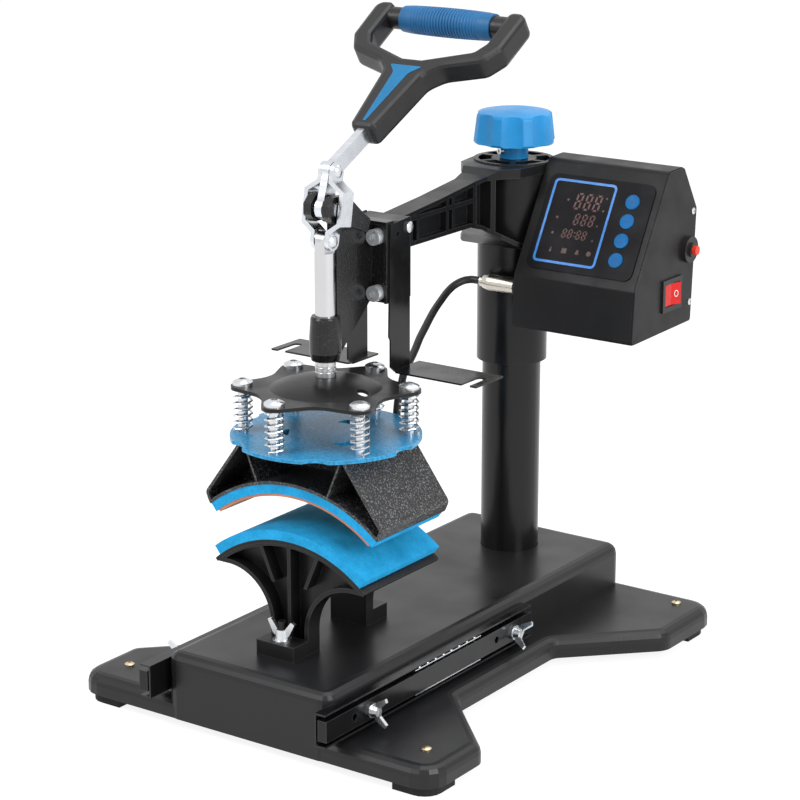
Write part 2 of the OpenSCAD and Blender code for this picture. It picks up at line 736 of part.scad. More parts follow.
// Pocket columns along the beam, measured forward from the post's axis
pocket_columns = [[163, 157], [154, 115], [112, 107], [104, 76]];
last_columns = [[72, 57], [53, 0]];
hub_half = hub_d / 2;
sleeve_socket_top = hub_roof;
case_boss_y = post_y - 8;
case_boss_len = 34;
case_boss_z = 345;
case_boss_h = 44;
case_bolt_z = [case_boss_z + 10, case_boss_z + 34];
case_bolt_y = case_boss_y + case_boss_len / 2;
bracket_screw_y = flange_y + 18;
bracket_screw_z = flange_top - 8;
module arm_side() {
    polygon([
        [end_y - 1, arm_bottom], [end_y - 1, arm_top], [post_y - 124, arm_top + 5.5],
        [post_y - 74, arm_top + 11.5], [post_y - 60, arm_top + 14], [post_y - 50, hub_top - 1],
        [post_y, hub_top - 1], [post_y, hub_bottom], [post_y - 32, hub_bottom],
        [post_y - 50, hub_bottom + 12],
        [post_y - 66, arm_bottom - 4], [post_y - 80, arm_bottom]
    ]);
}
module arm_plan() {
    polygon(mirrored([
        [arm_w / 2, end_y - 1], [arm_w / 2, post_y - 74], [arm_w / 2 + 3, post_y - 60],
        [arm_w / 2 + 9, post_y - 48], [hub_half - 4.5, post_y - 36], [hub_half, post_y - 10],
        [hub_half, post_y]
    ]));
}
module arm_pockets() {
    intersection() {
        offset(delta = -arm_rim) arm_side();
        union() {
            for (c = pocket_columns) difference() {
                translate([post_y - c[0], hub_bottom]) square([c[0] - c[1], hub_top - hub_bottom]);
                translate([post_y - c[0] - 1, mid_rib_z - mid_rib_t / 2])
                    square([c[0] - c[1] + 2, mid_rib_t]);
            }
            for (c = last_columns)
                translate([post_y - c[0], hub_bottom]) square([c[0] - c[1], hub_top - hub_bottom - 9]);
        }
    }
}
module arm_casting() color([0.1, 0.1, 0.1]) {
    difference() {
        union() {
            translate([0, post_y, hub_bottom]) cylinder(d = hub_d, h = hub_top - hub_bottom);
            difference() {
                intersection() {
                    side_profile(-hub_half, hub_half) arm_side();
                    translate([0, 0, hub_bottom]) linear_extrude(hub_top - hub_bottom) arm_plan();
                }
                both_sides() side_profile(arm_web / 2, hub_half + 1) arm_pockets();
            }
            translate([-flange_w / 2, flange_y, flange_bottom])
                cube([flange_w, end_block_t, flange_top - 1 - flange_bottom]);
            translate([0, case_boss_y, case_boss_z]) cube([case_x, case_boss_len, case_boss_h]);
        }
        translate([0, post_y, hub_bottom - 1])
            cylinder(d = sleeve_d + 2 * seat, h = sleeve_socket_top - hub_bottom + 1);
        translate([0, post_y, hub_roof - 1]) cylinder(d = screw_d + 2 * fit, h = hub_plate_t + 2);
        for (i = [0:5]) translate([0, post_y, hub_top - 9]) rotate(60 * i + 30) intersection() {
            difference() {
                cylinder(d = hub_d - 8, h = 10);
                translate([0, 0, -1]) cylinder(d = hub_boss_d, h = 12);
            }
            linear_extrude(10) polygon([[4, 0], [40, 20], [40, -20]]);
        }
        for (s = [-1, 1]) for (z = guide_bolt_z) translate([s * guide_bolt_x, flange_y + 16, z])
            along_y() cylinder(d = guide_bolt_d + 0.3, h = 20);
        for (z = case_bolt_z) translate([case_x - 7, case_bolt_y, z]) along_x() cylinder(d = 6.2, h = 20);
        for (s = [-1, 1]) translate([s * (flange_w / 2 + 1), bracket_screw_y, bracket_screw_z])
            rotate([0, -90 * s, 0]) cylinder(d = 5.2, h = 10);
    }
}
module sleeve_tube() color([0.1, 0.1, 0.1]) {
    translate([0, post_y, sleeve_bottom]) difference() {
        cylinder(d = sleeve_d, h = sleeve_socket_top - sleeve_bottom - 6.5);
        translate([0, 0, -1]) cylinder(d = post_d + 2 * fit, h = 400);
    }
}

// Guide casting: flange, web, barrel and the two ears that hold the lever
guide_bolt_d = 8;
guide_bolt_x = 11;
guide_head_d = 12.6;
guide_rim = 2.4;
guide_bolt_z = [flange_bottom + 8, flange_top - 12];
guide_front = flange_y - flange_t;
ear_in = 5.3;
ear_out = 12.3;
ear_root = guide_front - 10;
web_t = 9;
barrel_top = barrel_bottom + barrel_len;
rod_back = press_y + rod_d / 2 + 1.2;
module plunger_guide() color([0.08, 0.08, 0.08]) {
    difference() {
        union() {
            difference() {
                translate([-flange_w / 2, guide_front, flange_bottom])
                    cube([flange_w, flange_t, flange_top - flange_bottom]);
                both_sides() translate([web_t / 2, guide_front - 1, flange_bottom - 1])
                    cube([flange_w / 2 - guide_rim - web_t / 2, 3, flange_top - flange_bottom - 2]);
            }
            side_profile(-web_t / 2, web_t / 2) polygon([
                [guide_front + 1, flange_bottom + 2], [guide_front + 1, flange_top - 1],
                [press_y + 30, pivot_z - 9],
                [rod_back, pivot_z - 14], [rod_back, barrel_top], [press_y + 6, barrel_top],
                [press_y + 6, barrel_bottom],
                [press_y + 11, barrel_bottom]
            ]);
            for (x = [-ear_out, ear_in]) side_profile(x, x + ear_out - ear_in) polygon([
                [press_y, pivot_z - 10], [press_y, pivot_z + 10], [press_y + 14, pivot_z + 9],
                [press_y + 34, pivot_z - 8], [ear_root, pivot_z - 14], [ear_root - 4, pivot_z - 24],
                [press_y + 14, pivot_z - 14], [press_y + 11, pivot_z - 10]
            ]);
            for (x = [-ear_out, ear_in]) side_profile(x, x + ear_out - ear_in)
                translate(pivot_1) rotate(22.5) circle(r = 11, $fn = 8);
            side_profile(-ear_in - 1, ear_in + 1) polygon([
                [press_y + 13, pivot_z - 14], [press_y + 13, pivot_z - 8], [press_y + 34, pivot_z - 9],
                [ear_root, pivot_z - 14], [ear_root - 4, pivot_z - 24]
            ]);
            translate([0, press_y, 0]) rotate_extrude() polygon([
                [rod_d / 2 - 1, barrel_bottom], [barrel_d / 2 - 1.5, barrel_bottom],
                [barrel_d / 2, barrel_bottom + 6],
                [barrel_d / 2, barrel_bottom + 18], [barrel_d / 2 - 1, barrel_top - 2],
                [barrel_d / 2 - 2, barrel_top],
                [rod_d / 2 - 1, barrel_top]
            ]);
        }
        translate([0, press_y, barrel_bottom - 1]) cylinder(d = rod_d + 2 * fit, h = barrel_len + 2);
        translate([0, press_y, barrel_top]) cylinder(d = rod_d + 2, h = pivot_z - 24 - barrel_top);
        translate([-20, press_y, pivot_z]) along_x() cylinder(d = pin_d + 2 * seat, h = 40);
        for (s = [-1, 1]) for (z = guide_bolt_z) translate([s * guide_bolt_x, flange_y + 1, z])
            along_y() cylinder(d = guide_bolt_d + 0.3, h = flange_t + 2);
    }
}
module guide_bolts() color([0.8, 0.8, 0.82]) {
    for (s = [-1, 1]) for (z = guide_bolt_z) translate([s * guide_bolt_x, guide_front + 2, z])
        along_y() socket_screw(guide_bolt_d, flange_t + 12, guide_head_d, 8);
}

// Sheet brackets at both sides of the arm's end, with hooked wings
bracket_t = 1.5;
bracket_low = barrel_bottom - 21;
wing_y0 = flange_y - 3;
wing_y1 = flange_y + 35;
wing_x1 = 100;
module bracket(side) color([0.14, 0.14, 0.14]) {
    mirror([side > 0 ? 0 : 1, 0, 0]) translate([flange_w / 2, 0, 0]) {
        difference() {
            side_profile(0, bracket_t) polygon([
                [flange_y - 6, bracket_low + 5], [flange_y - 6, bracket_low + 27],
                [flange_y - 8, bracket_low + 30],
                [flange_y - 6, flange_top - 2], [flange_y + 20, flange_top], [flange_y + 20, bracket_low],
                [flange_y, bracket_low]
            ]);
            translate([-1, bracket_screw_y, bracket_screw_z]) along_x() cylinder(d = 5.4, h = 4);
            translate([-1, flange_y + 3, bracket_screw_z - 3]) along_x() cylinder(d = 4, h = 4);
        }
        difference() {
            translate([0, wing_y0, bracket_low])
                cube([wing_x1 - flange_w / 2, wing_y1 - wing_y0, bracket_t]);
            translate([wing_x1 - flange_w / 2 - 14, wing_y0 - 1, bracket_low - 1]) cube([8, 22, 4]);
            translate([wing_x1 - flange_w / 2 - 10, wing_y0 + 21, bracket_low - 1]) cylinder(d = 8, h = 4);
            translate([-1, wing_y0 - 1, bracket_low - 1]) linear_extrude(4)
                polygon([[0, 0], [5, 0], [0, 8]]);
        }
    }
}

// Lever with its pin, yoke and grip
lever_eye_r = 8.5;
pin_head_h = 1.6;
grip_y = press_y + grip_back;
grip_z = pivot_z + grip_up;
yoke_dir = [cos(yoke_tilt), sin(yoke_tilt)];
yoke_foot = [grip_y, grip_z] - yoke_len * yoke_dir;
bar_dir = unit(yoke_foot - pivot_2);
bar_normal = [-bar_dir[1], bar_dir[0]];
bar_depth = 13;
tang_len = 30;
module lever_pin() color([0.8, 0.8, 0.82]) {
    translate([-ear_out - pin_head_h, press_y, pivot_z]) along_x() {
        cylinder(d = pin_d, h = 2 * (ear_out + pin_head_h));
        cylinder(d = 12, h = pin_head_h);
        translate([0, 0, 2 * ear_out + pin_head_h]) cylinder(d = 12, h = pin_head_h);
    }
}
module strip(a, b, w) {
    d = unit(b - a);
    n = [-d[1], d[0]] * w / 2;
    polygon([a - n, b - n, b + n, a + n]);
}
module lever_bar() color([0.78, 0.8, 0.82]) {
    difference() {
        side_profile(-lever_t / 2, lever_t / 2) {
            translate(pivot_1) circle(r = lever_eye_r);
            translate(pivot_2) circle(r = lever_eye_r - 1);
            strip(pivot_1, pivot_2, 13);
            strip(pivot_2, yoke_foot + 2 * yoke_dir, bar_depth);
            strip(yoke_foot, yoke_foot + tang_len * yoke_dir, bar_depth - 1);
        }
        translate([-5, press_y, pivot_z]) along_x() cylinder(d = pin_d + 2 * fit, h = 10);
        translate([-5, pivot_2[0], pivot_2[1]]) along_x() cylinder(d = pin_d + 2 * fit, h = 10);
    }
}
yoke_half = yoke_w / 2;
yoke_arm_w = 17;
yoke_bevel = 3.5;
yoke_right = [
    [11, -yoke_len], [19, 12 - yoke_len / 1.65], [29, -61], [yoke_half - 10, -50], [yoke_half - 1, -34],
    [yoke_half, 9], [yoke_half - yoke_arm_w, 9], [yoke_half - yoke_arm_w, -30],
    [yoke_half - yoke_arm_w - 6, -41],
    [9, -56]
];
yoke_points = mirrored(yoke_right);
yoke_radii = mirrored_list([5, 14, 16, 10, 10, 8, 5, 7, 6, 5]);
module yoke_frame() {
    translate([0, grip_y, grip_z]) rotate([yoke_tilt, 0, 0]) children();
}
module handle_yoke() color([0.13, 0.13, 0.13]) {
    difference() {
        yoke_frame() clean_loft(
            [for (d = [yoke_bevel, 1, 0, 0, 1, yoke_bevel]) rounded(yoke_points, yoke_radii, d, 4)],
            [for (d = [0, 1, yoke_bevel]) d - yoke_t / 2, for (d = [yoke_bevel, 1, 0]) yoke_t / 2 - d]);
        yoke_frame() translate([-yoke_half + 4, 0, 0]) along_x()
            cylinder(d = grip_bar_d + 2 * seat, h = yoke_w - 8);
        side_profile(-lever_t / 2 - seat, lever_t / 2 + seat)
            strip(yoke_foot - 5 * yoke_dir, yoke_foot + (tang_len + 0.1) * yoke_dir,
                bar_depth - 1 + 2 * seat);
        side_profile(-lever_t / 2 - seat, lever_t / 2 + seat)
            strip(pivot_2, yoke_foot + 2.1 * yoke_dir, bar_depth + 2 * seat);
        yoke_frame() translate([0, 0, yoke_t / 2 - inlay_depth]) linear_extrude(5)
            polygon(inlay_outline(0));
    }
}
inlay_depth = 1.2;
inlay_proud = 0.3;
inlay_points = mirrored([[1.2, 6 - yoke_len], [7, -74], [15, -65.5]]);
function inlay_outline(inset) = rounded(inlay_points, mirrored_list([0.6, 8, 0.8]), inset, 3);
module handle_inlay() color([0.16, 0.5, 0.85]) {
    yoke_frame() translate([0, 0, yoke_t / 2 - inlay_depth]) linear_extrude(inlay_depth + inlay_proud)
        polygon(inlay_outline(seat));
}
module grip_bar() color([0.13, 0.13, 0.13]) {
    yoke_frame() translate([-yoke_half + 4.5, 0, 0]) along_x() cylinder(d = grip_bar_d, h = yoke_w - 9);
}
groove_count = 23;
groove_pitch = 2.8;
groove_r = 0.9;
groove_depth = 1.1;
groove_y0 = (grip_len - groove_pitch * (groove_count - 1)) / 2;
grip_swell = (grip_d - grip_bar_d) / 2 - 2;
module grip_sleeve() color([0.16, 0.5, 0.85]) {
    yoke_frame() translate([-grip_len / 2, 0, 0]) along_x() difference() {
        rotate_extrude() difference() {
            polygon(concat([[grip_bar_d / 2 + seat, 0], [grip_bar_d / 2 + 1.6, 0]],
                [for (i = [1:11]) [grip_d / 2 - grip_swell * ((i - 6) / 6) ^ 2, grip_len * i / 12]],
                [[grip_bar_d / 2 + 1.6, grip_len], [grip_bar_d / 2 + seat, grip_len]]));
            for (i = [0:groove_count - 1])
                translate([grip_d / 2 + groove_r - groove_depth, groove_y0 + groove_pitch * i])
                    circle(r = groove_r, $fn = 12);
        }
    }
}

// Cranked links beside the lever; the rivets' lower heads ride on the links
link_t = 3.5;
link_w = 14;
link_top_x = lever_t / 2 + slack;
link_low_x = 5.1;
link_out_x = ear_out + pin_head_h + 1;
link_lean = atan2(crank_r * sin(crank_lean), link_drop);
module link_frame() {
    translate([0, pivot_2[0], pivot_2[1]]) rotate([-link_lean, 0, 0]) rotate([0, 180, 0]) children();
}
module link(side) color([0.82, 0.84, 0.86]) {
    link_frame() mirror([side > 0 ? 1 : 0, 0, 0]) intersection() {
        translate([0, link_w / 2, 0]) along_y() linear_extrude(link_w) polygon([
            [link_top_x, -8], [link_top_x, 9], [link_out_x, 16.5], [link_out_x, 39], [link_low_x, 46],
            [link_low_x, link_len + 8], [link_low_x + link_t, link_len + 8], [link_low_x + link_t, 48],
            [link_out_x + link_t, 41], [link_out_x + link_t, 14.8], [link_top_x + link_t, 7],
            [link_top_x + link_t, -8]
        ]);
        side_profile(-1, 30) {
            circle(r = link_w / 2);
            translate([0, link_len]) circle(r = link_w / 2);
            translate([-link_w / 2, 0]) square([link_w, link_len]);
        }
    }
}
module link_bored(side) {
    difference() {
        link(side);
        translate([-20, pivot_2[0], pivot_2[1]]) along_x() cylinder(d = pin_d + 2 * seat, h = 40);
    }
}
module link_rivets() color([0.85, 0.87, 0.89]) {
    top_x = link_top_x + link_t;
    low_x = link_low_x + link_t;
    translate([-top_x, pivot_2[0], pivot_2[1]]) along_x() cylinder(d = pin_d, h = 2 * top_x);
    both_sides() {
        translate([top_x, pivot_2[0], pivot_2[1]]) along_x() rotate_extrude() intersection() {
            translate([0, -4.5]) circle(r = 6.8);
            square([5.5, 3]);
        }
        translate([low_x, pivot_3[0], pivot_3[1]]) along_x() rotate_extrude() intersection() {
            translate([0, -4.5]) circle(r = 6.8);
            square([5.5, 3]);
        }
    }
}

// Press rod: eye at the top, thread at the bottom
tongue_half = link_low_x - slack;
rod_neck_z = pivot_3[1] - 9;
rod_low = star_bottom - 4;
thread_d = 12;
dome_h = 9;
dome_top = star_top + dome_h;
lock_nut_h = 12;
rod_foot = dome_top + lock_nut_h;
module plunger_rod() color([0.78, 0.8, 0.82]) {
    translate([0, press_y, 0]) {
        translate([0, 0, rod_low]) cylinder(d = thread_d, h = rod_foot - rod_low + 1);
        translate([0, 0, rod_foot]) cylinder(d = rod_d, h = rod_neck_z - rod_foot);
    }
    intersection() {
        translate([0, press_y, rod_neck_z - 2]) cylinder(d = rod_d, h = 30);
        side_profile(-tongue_half, tongue_half) {
            translate(pivot_3) circle(r = rod_d / 2 - 0.2);
            translate([press_y - rod_d / 2, rod_neck_z - 2]) square([rod_d, 11]);
        }
    }
}
module lock_nut() color([0.82, 0.84, 0.86]) {
    translate([0, press_y, dome_top]) difference() {
        union() {
            cylinder(d = rod_d + 0.6, h = lock_nut_h - 0.1);
        }
        translate([0, 0, -1]) cylinder(d = thread_d + 2 * seat, h = lock_nut_h + 2);
        for (z = [4, 8]) translate([0, 0, z]) rotate_extrude() translate([rod_d / 2 + 0.3, 0])
            circle(r = 0.7, $fn = 16);
    }
}

// Star plate with its dome, six springs and six guide bolts
dome_d = 88;
star_points = [for (i = [0:5]) each [
    82 / 65 * bolt_circle_r * [cos(60 * i + 30), sin(60 * i + 30)],
    53 / 65 * bolt_circle_r * [cos(60 * i + 60), sin(60 * i + 60)]]];
star_radii = [for (i = [0:5]) each [11, 25]];
module at_bolts() {
    for (i = [0:5]) translate([0, press_y, 0]) rotate(60 * i + 30) translate([bolt_circle_r, 0, 0])
        children();
}
dome_r = ((dome_d / 2) ^ 2 + dome_h ^ 2) / (2 * dome_h);
module star_plate() color([0.12, 0.12, 0.12]) {
    difference() {
        union() {
            translate([0, press_y, star_bottom]) linear_extrude(plate_t)
                polygon(rounded(star_points, star_radii, 0, 6));
            translate([0, press_y, star_bottom]) rotate_extrude($fn = 96) intersection() {
                translate([0, plate_t + dome_h - dome_r]) circle(r = dome_r, $fn = 240);
                square([dome_d / 2, plate_t + dome_h]);
            }
        }
        translate([0, press_y, star_bottom]) rotate_extrude($fn = 96) intersection() {
            translate([0, dome_h - dome_r]) circle(r = dome_r, $fn = 240);
            translate([0, -1]) square([dome_d / 2, dome_h - 2]);
        }
        translate([0, press_y, rod_low - 5]) cylinder(d = thread_d + 2 * seat, h = 40);
        translate([38, press_y - 3, star_bottom - 1]) cylinder(d = 10, h = 20);
        at_bolts() translate([0, 0, star_bottom - 1]) cylinder(d = bolt_d + 2 * slack, h = plate_t + 2);
    }
}
helix_r = (spring_d - spring_wire) / 2;
rings_per_turn = 8;
spring_rings = rings_per_turn * spring_turns;
spring_rise = spring_h - 2 * spring_wire;
function spring_point(i) = let (a = 360 * i / rings_per_turn)
    [helix_r * cos(a), helix_r * sin(a), spring_wire + spring_rise * i / spring_rings];
spring_path = concat([spring_point(0) - [0, 0, spring_wire]],
    [for (i = [0:spring_rings]) spring_point(i)],
    [spring_point(spring_rings) + [0, 0, spring_wire]]);
spring_gap = min([for (i = [0:spring_rings]) for (j = [i + 5:1:spring_rings])
    norm(spring_point(i) - spring_point(j))]) - spring_wire;
echo(least_spring_gap_mm = spring_gap);
module head_springs() color([0.82, 0.84, 0.86]) {
    at_bolts() translate([0, 0, plate_top]) tube(spring_path, spring_wire, 6, [0.02, 0.01, 1]);
}
module head_bolts() color([0.85, 0.87, 0.89]) {
    at_bolts() translate([0, 0, star_top]) pan_screw(bolt_d, spring_h + 2 * plate_t, 16, 5.5);
}
notch_r = 14;
window_r = 33;
module pressure_plate() color([0.12, 0.45, 0.75]) {
    translate([0, press_y, housing_top]) difference() {
        cylinder(d = plate_d, h = plate_t, $fn = 120);
        for (i = [0:5]) rotate(60 * i + 60) translate([plate_d / 2 + notch_r - 5, 0, -1])
            cylinder(r = notch_r, h = plate_t + 2);
        for (i = [0:5]) rotate(60 * i + 30) translate([bolt_circle_r, 0, -1])
            cylinder(d = bolt_d + 2 * seat, h = plate_t + 2);
        for (i = [0:2]) rotate(120 * i - 27) translate([window_r, 0, -1]) linear_extrude(plate_t + 2)
            polygon([[-4, -9], [5, -6], [5, 6], [-4, 9]]);
    }
}

// Heated head: ribbed housing, foam and heating mat
head_y0 = press_y - head_depth / 2;
head_y1 = press_y + head_depth / 2;
function on_arc(r, angle, cz) = [r * sin(angle), cz + r * cos(angle)];
foam_half = mat_half + 1.4;
skirt = on_arc(arch_r, foam_half + 0.6, mat_cz);
housing_wide_z = skirt[1] + 10;
housing_rib_t = 1.8;
module housing_outline(wall) {
    difference() {
        polygon(rounded(mirrored([skirt, [housing_half, housing_wide_z], [housing_top_half, housing_top]]),
            mirrored_list([4, 5, 4]), wall, 4));
        translate([0, mat_cz]) circle(r = arch_r + wall, $fn = 180);
    }
}
module housing_rib(x_top, x_low) {
    polygon([[x_top, housing_top - 1], [x_top + housing_rib_t, housing_top - 1],
        [x_low + housing_rib_t, mat_cz + arch_r - 30], [x_low, mat_cz + arch_r - 30]]);
}
web_back = 3;
module heater_housing() color([0.1, 0.1, 0.1]) {
    front_profile(head_y0, head_y1) {
        difference() {
            housing_outline(0);
            housing_outline(housing_wall);
        }
        intersection() {
            housing_outline(0);
            for (s = [0, 1]) mirror([s, 0]) {
                housing_rib(46, 21.5);
            }
        }
    }
    front_profile(press_y - web_back / 2, press_y + web_back / 2) housing_outline(1);
    difference() {
        front_profile(head_y1 - 2, head_y1) housing_outline(1);
        translate([gland_x, head_y1 + 1, gland_z]) along_y() cylinder(d = cable_d + 1, h = 6);
    }
}
module foam_layer() color([0.1, 0.65, 0.95]) {
    front_profile(head_y0 + 0.5, head_y1 - 0.5) arc_band(foam_r, arch_r, foam_half, mat_cz);
}
module heating_mat() color([0.8, 0.35, 0.2]) {
    front_profile(head_y0 + 1, head_y1 - 1) arc_band(mat_r, foam_r, mat_half, mat_cz);
}
gland_x = 9;
gland_z = 203;
gland_len = 9;
relief_d = cable_d + 4.4;
relief_taper = 2;
relief_route = [
    [gland_x, head_y1 + 5, gland_z], [gland_x, -46.5, gland_z], [gland_x, -43, gland_z],
    [gland_x, -39.5, gland_z - 0.1], [gland_x, -36, gland_z], [gland_x, -32.6, gland_z + 0.6],
    [gland_x, -29, gland_z + 2], [gland_x, -26.7, gland_z + 3.7], [gland_x, -24.6, gland_z + 5.8],
    [gland_x, -23, gland_z + 8], [gland_x, -22, gland_z + 10]
];
module cable_gland() color([0.12, 0.12, 0.12]) {
    difference() {
        union() {
            translate([gland_x, head_y1, gland_z]) rotate([-90, 0, 0]) {
                cylinder(d = 15, h = 4, $fn = 6);
                cylinder(d = 12.4, h = gland_len);
            }
            tube(relief_route, relief_d, 12, [1, 0, 0], relief_taper);
        }
        translate([gland_x, head_y1 - 3, gland_z]) rotate([-90, 0, 0])
            cylinder(d = cable_d - 1.4, h = gland_len - 3);
    }
}
// Head cable, hand-placed from the plug at the control box to the strain relief on the head
plug_x = -4;
plug_y = post_y - 42;
plug_z = 306;
cable_route = [
    [-4, 122, 306], [-9, 122, 306], [-14, 121, 306], [-19, 117, 305], [-23, 110, 302], [-24, 101, 298],
    [-23, 90, 293], [-21, 78, 288], [-18, 66, 283], [-14, 53, 278], [-10, 40, 273], [-5, 27, 268],
    [0, 14, 264],
    [4, 3, 261], [7, -7, 256], [9, -13, 249], [9, -17, 240], [9, -19, 230], [9, -20, 221]
];
module head_cable() color([0.08, 0.08, 0.08]) {
    tube(cable_route, cable_d, 8, [0.05, 0.3, 1]);
}

// Control box
case_points = [for (p = [[-55.5, 275], [41.5, 277], [47, 372.5], [24, 410], [0, 409], [-52, 319]])
    [post_y + p[0], p[1]]];
case_radii = [3, 3, 4, 5, 5, 4];
case_x1 = case_x + case_w;
back_lean = atan2(case_points[2][0] - case_points[1][0], case_points[2][1] - case_points[1][1]);
inlet_x = case_x + 60;
inlet_z = 300;
case_back = case_points[1][0] + (inlet_z - case_points[1][1]) * tan(back_lean);
transformer_z = case_points[1][1] + case_wall - 0.65;
face_low = case_points[5];
face_high = case_points[4];
face_tilt = atan2(face_high[1] - face_low[1], face_high[0] - face_low[0]);
module on_face() {
    translate([case_x, face_low[0], face_low[1]]) rotate([face_tilt, 0, 0]) children();
}
key_x = 90;
key_y = [for (i = [0:3]) 24 + key_pitch * i];
rocker_y = post_y + 7;
rocker_z = 306.5;
reset_y = post_y + 33;
reset_z = 339.5;
cover_screws = [[post_y + 40, 370.5], [post_y + 38, 294]];
cover_screw_d = 3;
module case_shell() color([0.12, 0.12, 0.13]) {
    difference() {
        side_profile(case_x, case_x1 - case_wall) polygon(rounded(case_points, case_radii, 0, 4));
        side_profile(case_x + case_wall, case_x1 + 1)
            polygon(rounded(case_points, case_radii, case_wall, 4));
        for (y = key_y) on_face() translate([key_x, y, -5]) cylinder(d = key_d - 2, h = 8);
        on_face() translate([14, 18, -5]) cube([56, 58, 8]);
        for (z = case_bolt_z) translate([case_x - 2, case_bolt_y, z]) along_x() cylinder(d = 6.4, h = 5);
        translate([case_x - 2, plug_y, plug_z]) along_x() cylinder(d = 12.2, h = 5);
        translate([inlet_x - 12.5, case_back - 10, inlet_z - 10]) cube([25, 20, 20]);
    }
}
module case_cover() color([0.14, 0.14, 0.15]) {
    difference() {
        side_profile(case_x1 - case_wall, case_x1) polygon(rounded(case_points, case_radii, 0.6, 4));
        translate([case_x1 - 3, rocker_y - 13, rocker_z - 11]) cube([6, 26, 22]);
        translate([case_x1 - 3, reset_y, reset_z]) along_x() cylinder(d = 12.2, h = 6);
        for (p = cover_screws) translate([case_x1 - 3, p[0], p[1]]) along_x()
            cylinder(d = cover_screw_d + 0.2, h = 6);
    }
}
module arm_screws() color([0.8, 0.8, 0.82]) {
    both_sides() translate([flange_w / 2 + bracket_t, bracket_screw_y, bracket_screw_z]) along_x()
        pan_screw(5, 8, 9, 3.2);
    for (z = case_bolt_z) translate([case_x + case_wall, case_bolt_y, z]) along_x()
        socket_screw(6, 7, 10, 5);
    for (p = cover_screws) translate([case_x1, p[0], p[1]]) along_x()
        pan_screw(cover_screw_d, case_wall + 4, 5.5, 1.8);
}
board_y = -12;
board_t = 1.6;
module control_boards() {
    color([0.1, 0.35, 0.2]) on_face() {
        translate([10, 12, board_y]) cube([95, 72, board_t]);
        translate([16, 20, board_y + board_t - tiny]) cube([52, 54, -case_wall - board_y - board_t]);
        for (x = [14, 101]) for (y = [16, 80]) translate([x, y, board_y])
            cylinder(d = 5, h = -case_wall - board_y);
    }
    color([0.6, 0.55, 0.2]) translate([case_x + 20, post_y - 25, transformer_z]) cube([40, 34, 30]);
}
panel_t = 1;
module display_panel() color([0.05, 0.05, 0.07]) {
    on_face() difference() {
        linear_extrude(panel_t)
            polygon(rounded([[8, 8], [case_w - 7, 8], [case_w - 7, 91], [8, 91]], [7, 7, 7, 7], 0, 5));
        for (y = key_y) translate([key_x, y, -1]) cylinder(d = key_d + 2 * slack, h = 4);
    }
}
key_foot = 3;
key_lift = 0.6;
key_proud = 0.8;
module key(i) color([0.16, 0.45, 0.85]) {
    on_face() translate([key_x, key_y[i], 0]) {
        translate([0, 0, key_lift]) cylinder(d = key_d, h = panel_t + key_proud - key_lift);
        translate([0, 0, -key_foot]) cylinder(d = key_d - 3, h = key_foot + key_lift + tiny);
    }
}
rocker_rest = 8;
rocker_depth = 4;
rocker_len = 21;
rocker_h = 18;
module power_switch() color([0.85, 0.1, 0.08]) {
    translate([case_x1 - rocker_depth, rocker_y, rocker_z - rocker_h / 2]) rotate(-rocker_rest)
        difference() {
        linear_extrude(rocker_h) polygon([
            [-4, -2.5], [0, -rocker_len / 2 + 1], [rocker_depth + 2.6, -rocker_len / 2],
            [rocker_depth + 0.8, 0],
            [rocker_depth + 2.6, rocker_len / 2], [0, rocker_len / 2 - 1], [-4, 2.5]
        ]);
        translate([0, 0, -1]) cylinder(d = 2.4, h = rocker_h + 2);
    }
}
button_d = 7.6;
button_out = 9.5;
breaker_deep = 20;
breaker_out = 6;
module reset_button() color([0.9, 0.2, 0.1]) {
    translate([case_x1 - 6, reset_y, reset_z]) along_x() cylinder(d = button_d, h = 6 + button_out);
}
bezel_t = 1.8;
bezel_w = 31;
bezel_h = 27;
switch_deep = 16;
module panel_fittings() color([0.1, 0.1, 0.1]) {
    translate([case_x1, rocker_y, rocker_z]) difference() {
        union() {
            translate([0, -bezel_w / 2, -bezel_h / 2]) cube([bezel_t, bezel_w, bezel_h]);
            translate([-switch_deep, -12.8, -10.8]) cube([switch_deep + tiny, 25.6, 21.6]);
        }
        translate([1.2 - switch_deep, -11.8, -rocker_h / 2 - 0.4]) cube([30, 23.6, rocker_h + 0.8]);
    }
    translate([case_x1 - rocker_depth, rocker_y, rocker_z - rocker_h / 2 - 0.9])
        cylinder(d = 2.28, h = rocker_h + 1.8);
    translate([case_x1, reset_y, reset_z]) along_x() difference() {
        union() {
            translate([0, 0, -breaker_deep]) cylinder(d = 12, h = breaker_deep + breaker_out);
            translate([0, 0, -breaker_deep]) cylinder(d = 18, h = breaker_deep - 3);
            cylinder(d = 22, h = 4, $fn = 24);
        }
        translate([0, 0, -12]) cylinder(d = button_d + 2 * fit, h = 30);
    }
    translate([case_x, plug_y, plug_z]) along_x() difference() {
        union() {
            translate([0, 0, -3]) cylinder(d = 18, h = 3);
            translate([0, 0, -3]) cylinder(d = 12, h = 16);
        }
        translate([0, 0, -4]) cylinder(d = 9 + 2 * seat, h = 12);
    }
    translate([inlet_x, case_back, inlet_z]) rotate([-back_lean, 0, 0]) along_y() difference() {
        union() {
            translate([-15, -11, -3]) cube([30, 22, 3]);
            translate([-12, -9.5, -3]) cube([24, 19, 20]);
        }
        translate([-10, -7.5, -4]) cube([20, 15, 14]);
    }
}
module cable_plug() color([0.82, 0.82, 0.8]) {
    translate([plug_x, plug_y, plug_z]) along_x() {
        cylinder(d = 9, h = 4);
        translate([0, 0, 3]) cylinder(d1 = 11, d2 = 14, h = 6);
        translate([0, 0, 9 - tiny]) cylinder(d = 14, h = case_x - 3 - plug_x - 9);
        translate([0, 0, 20]) cylinder(d = 9, h = case_x - plug_x - 15);
    }
}

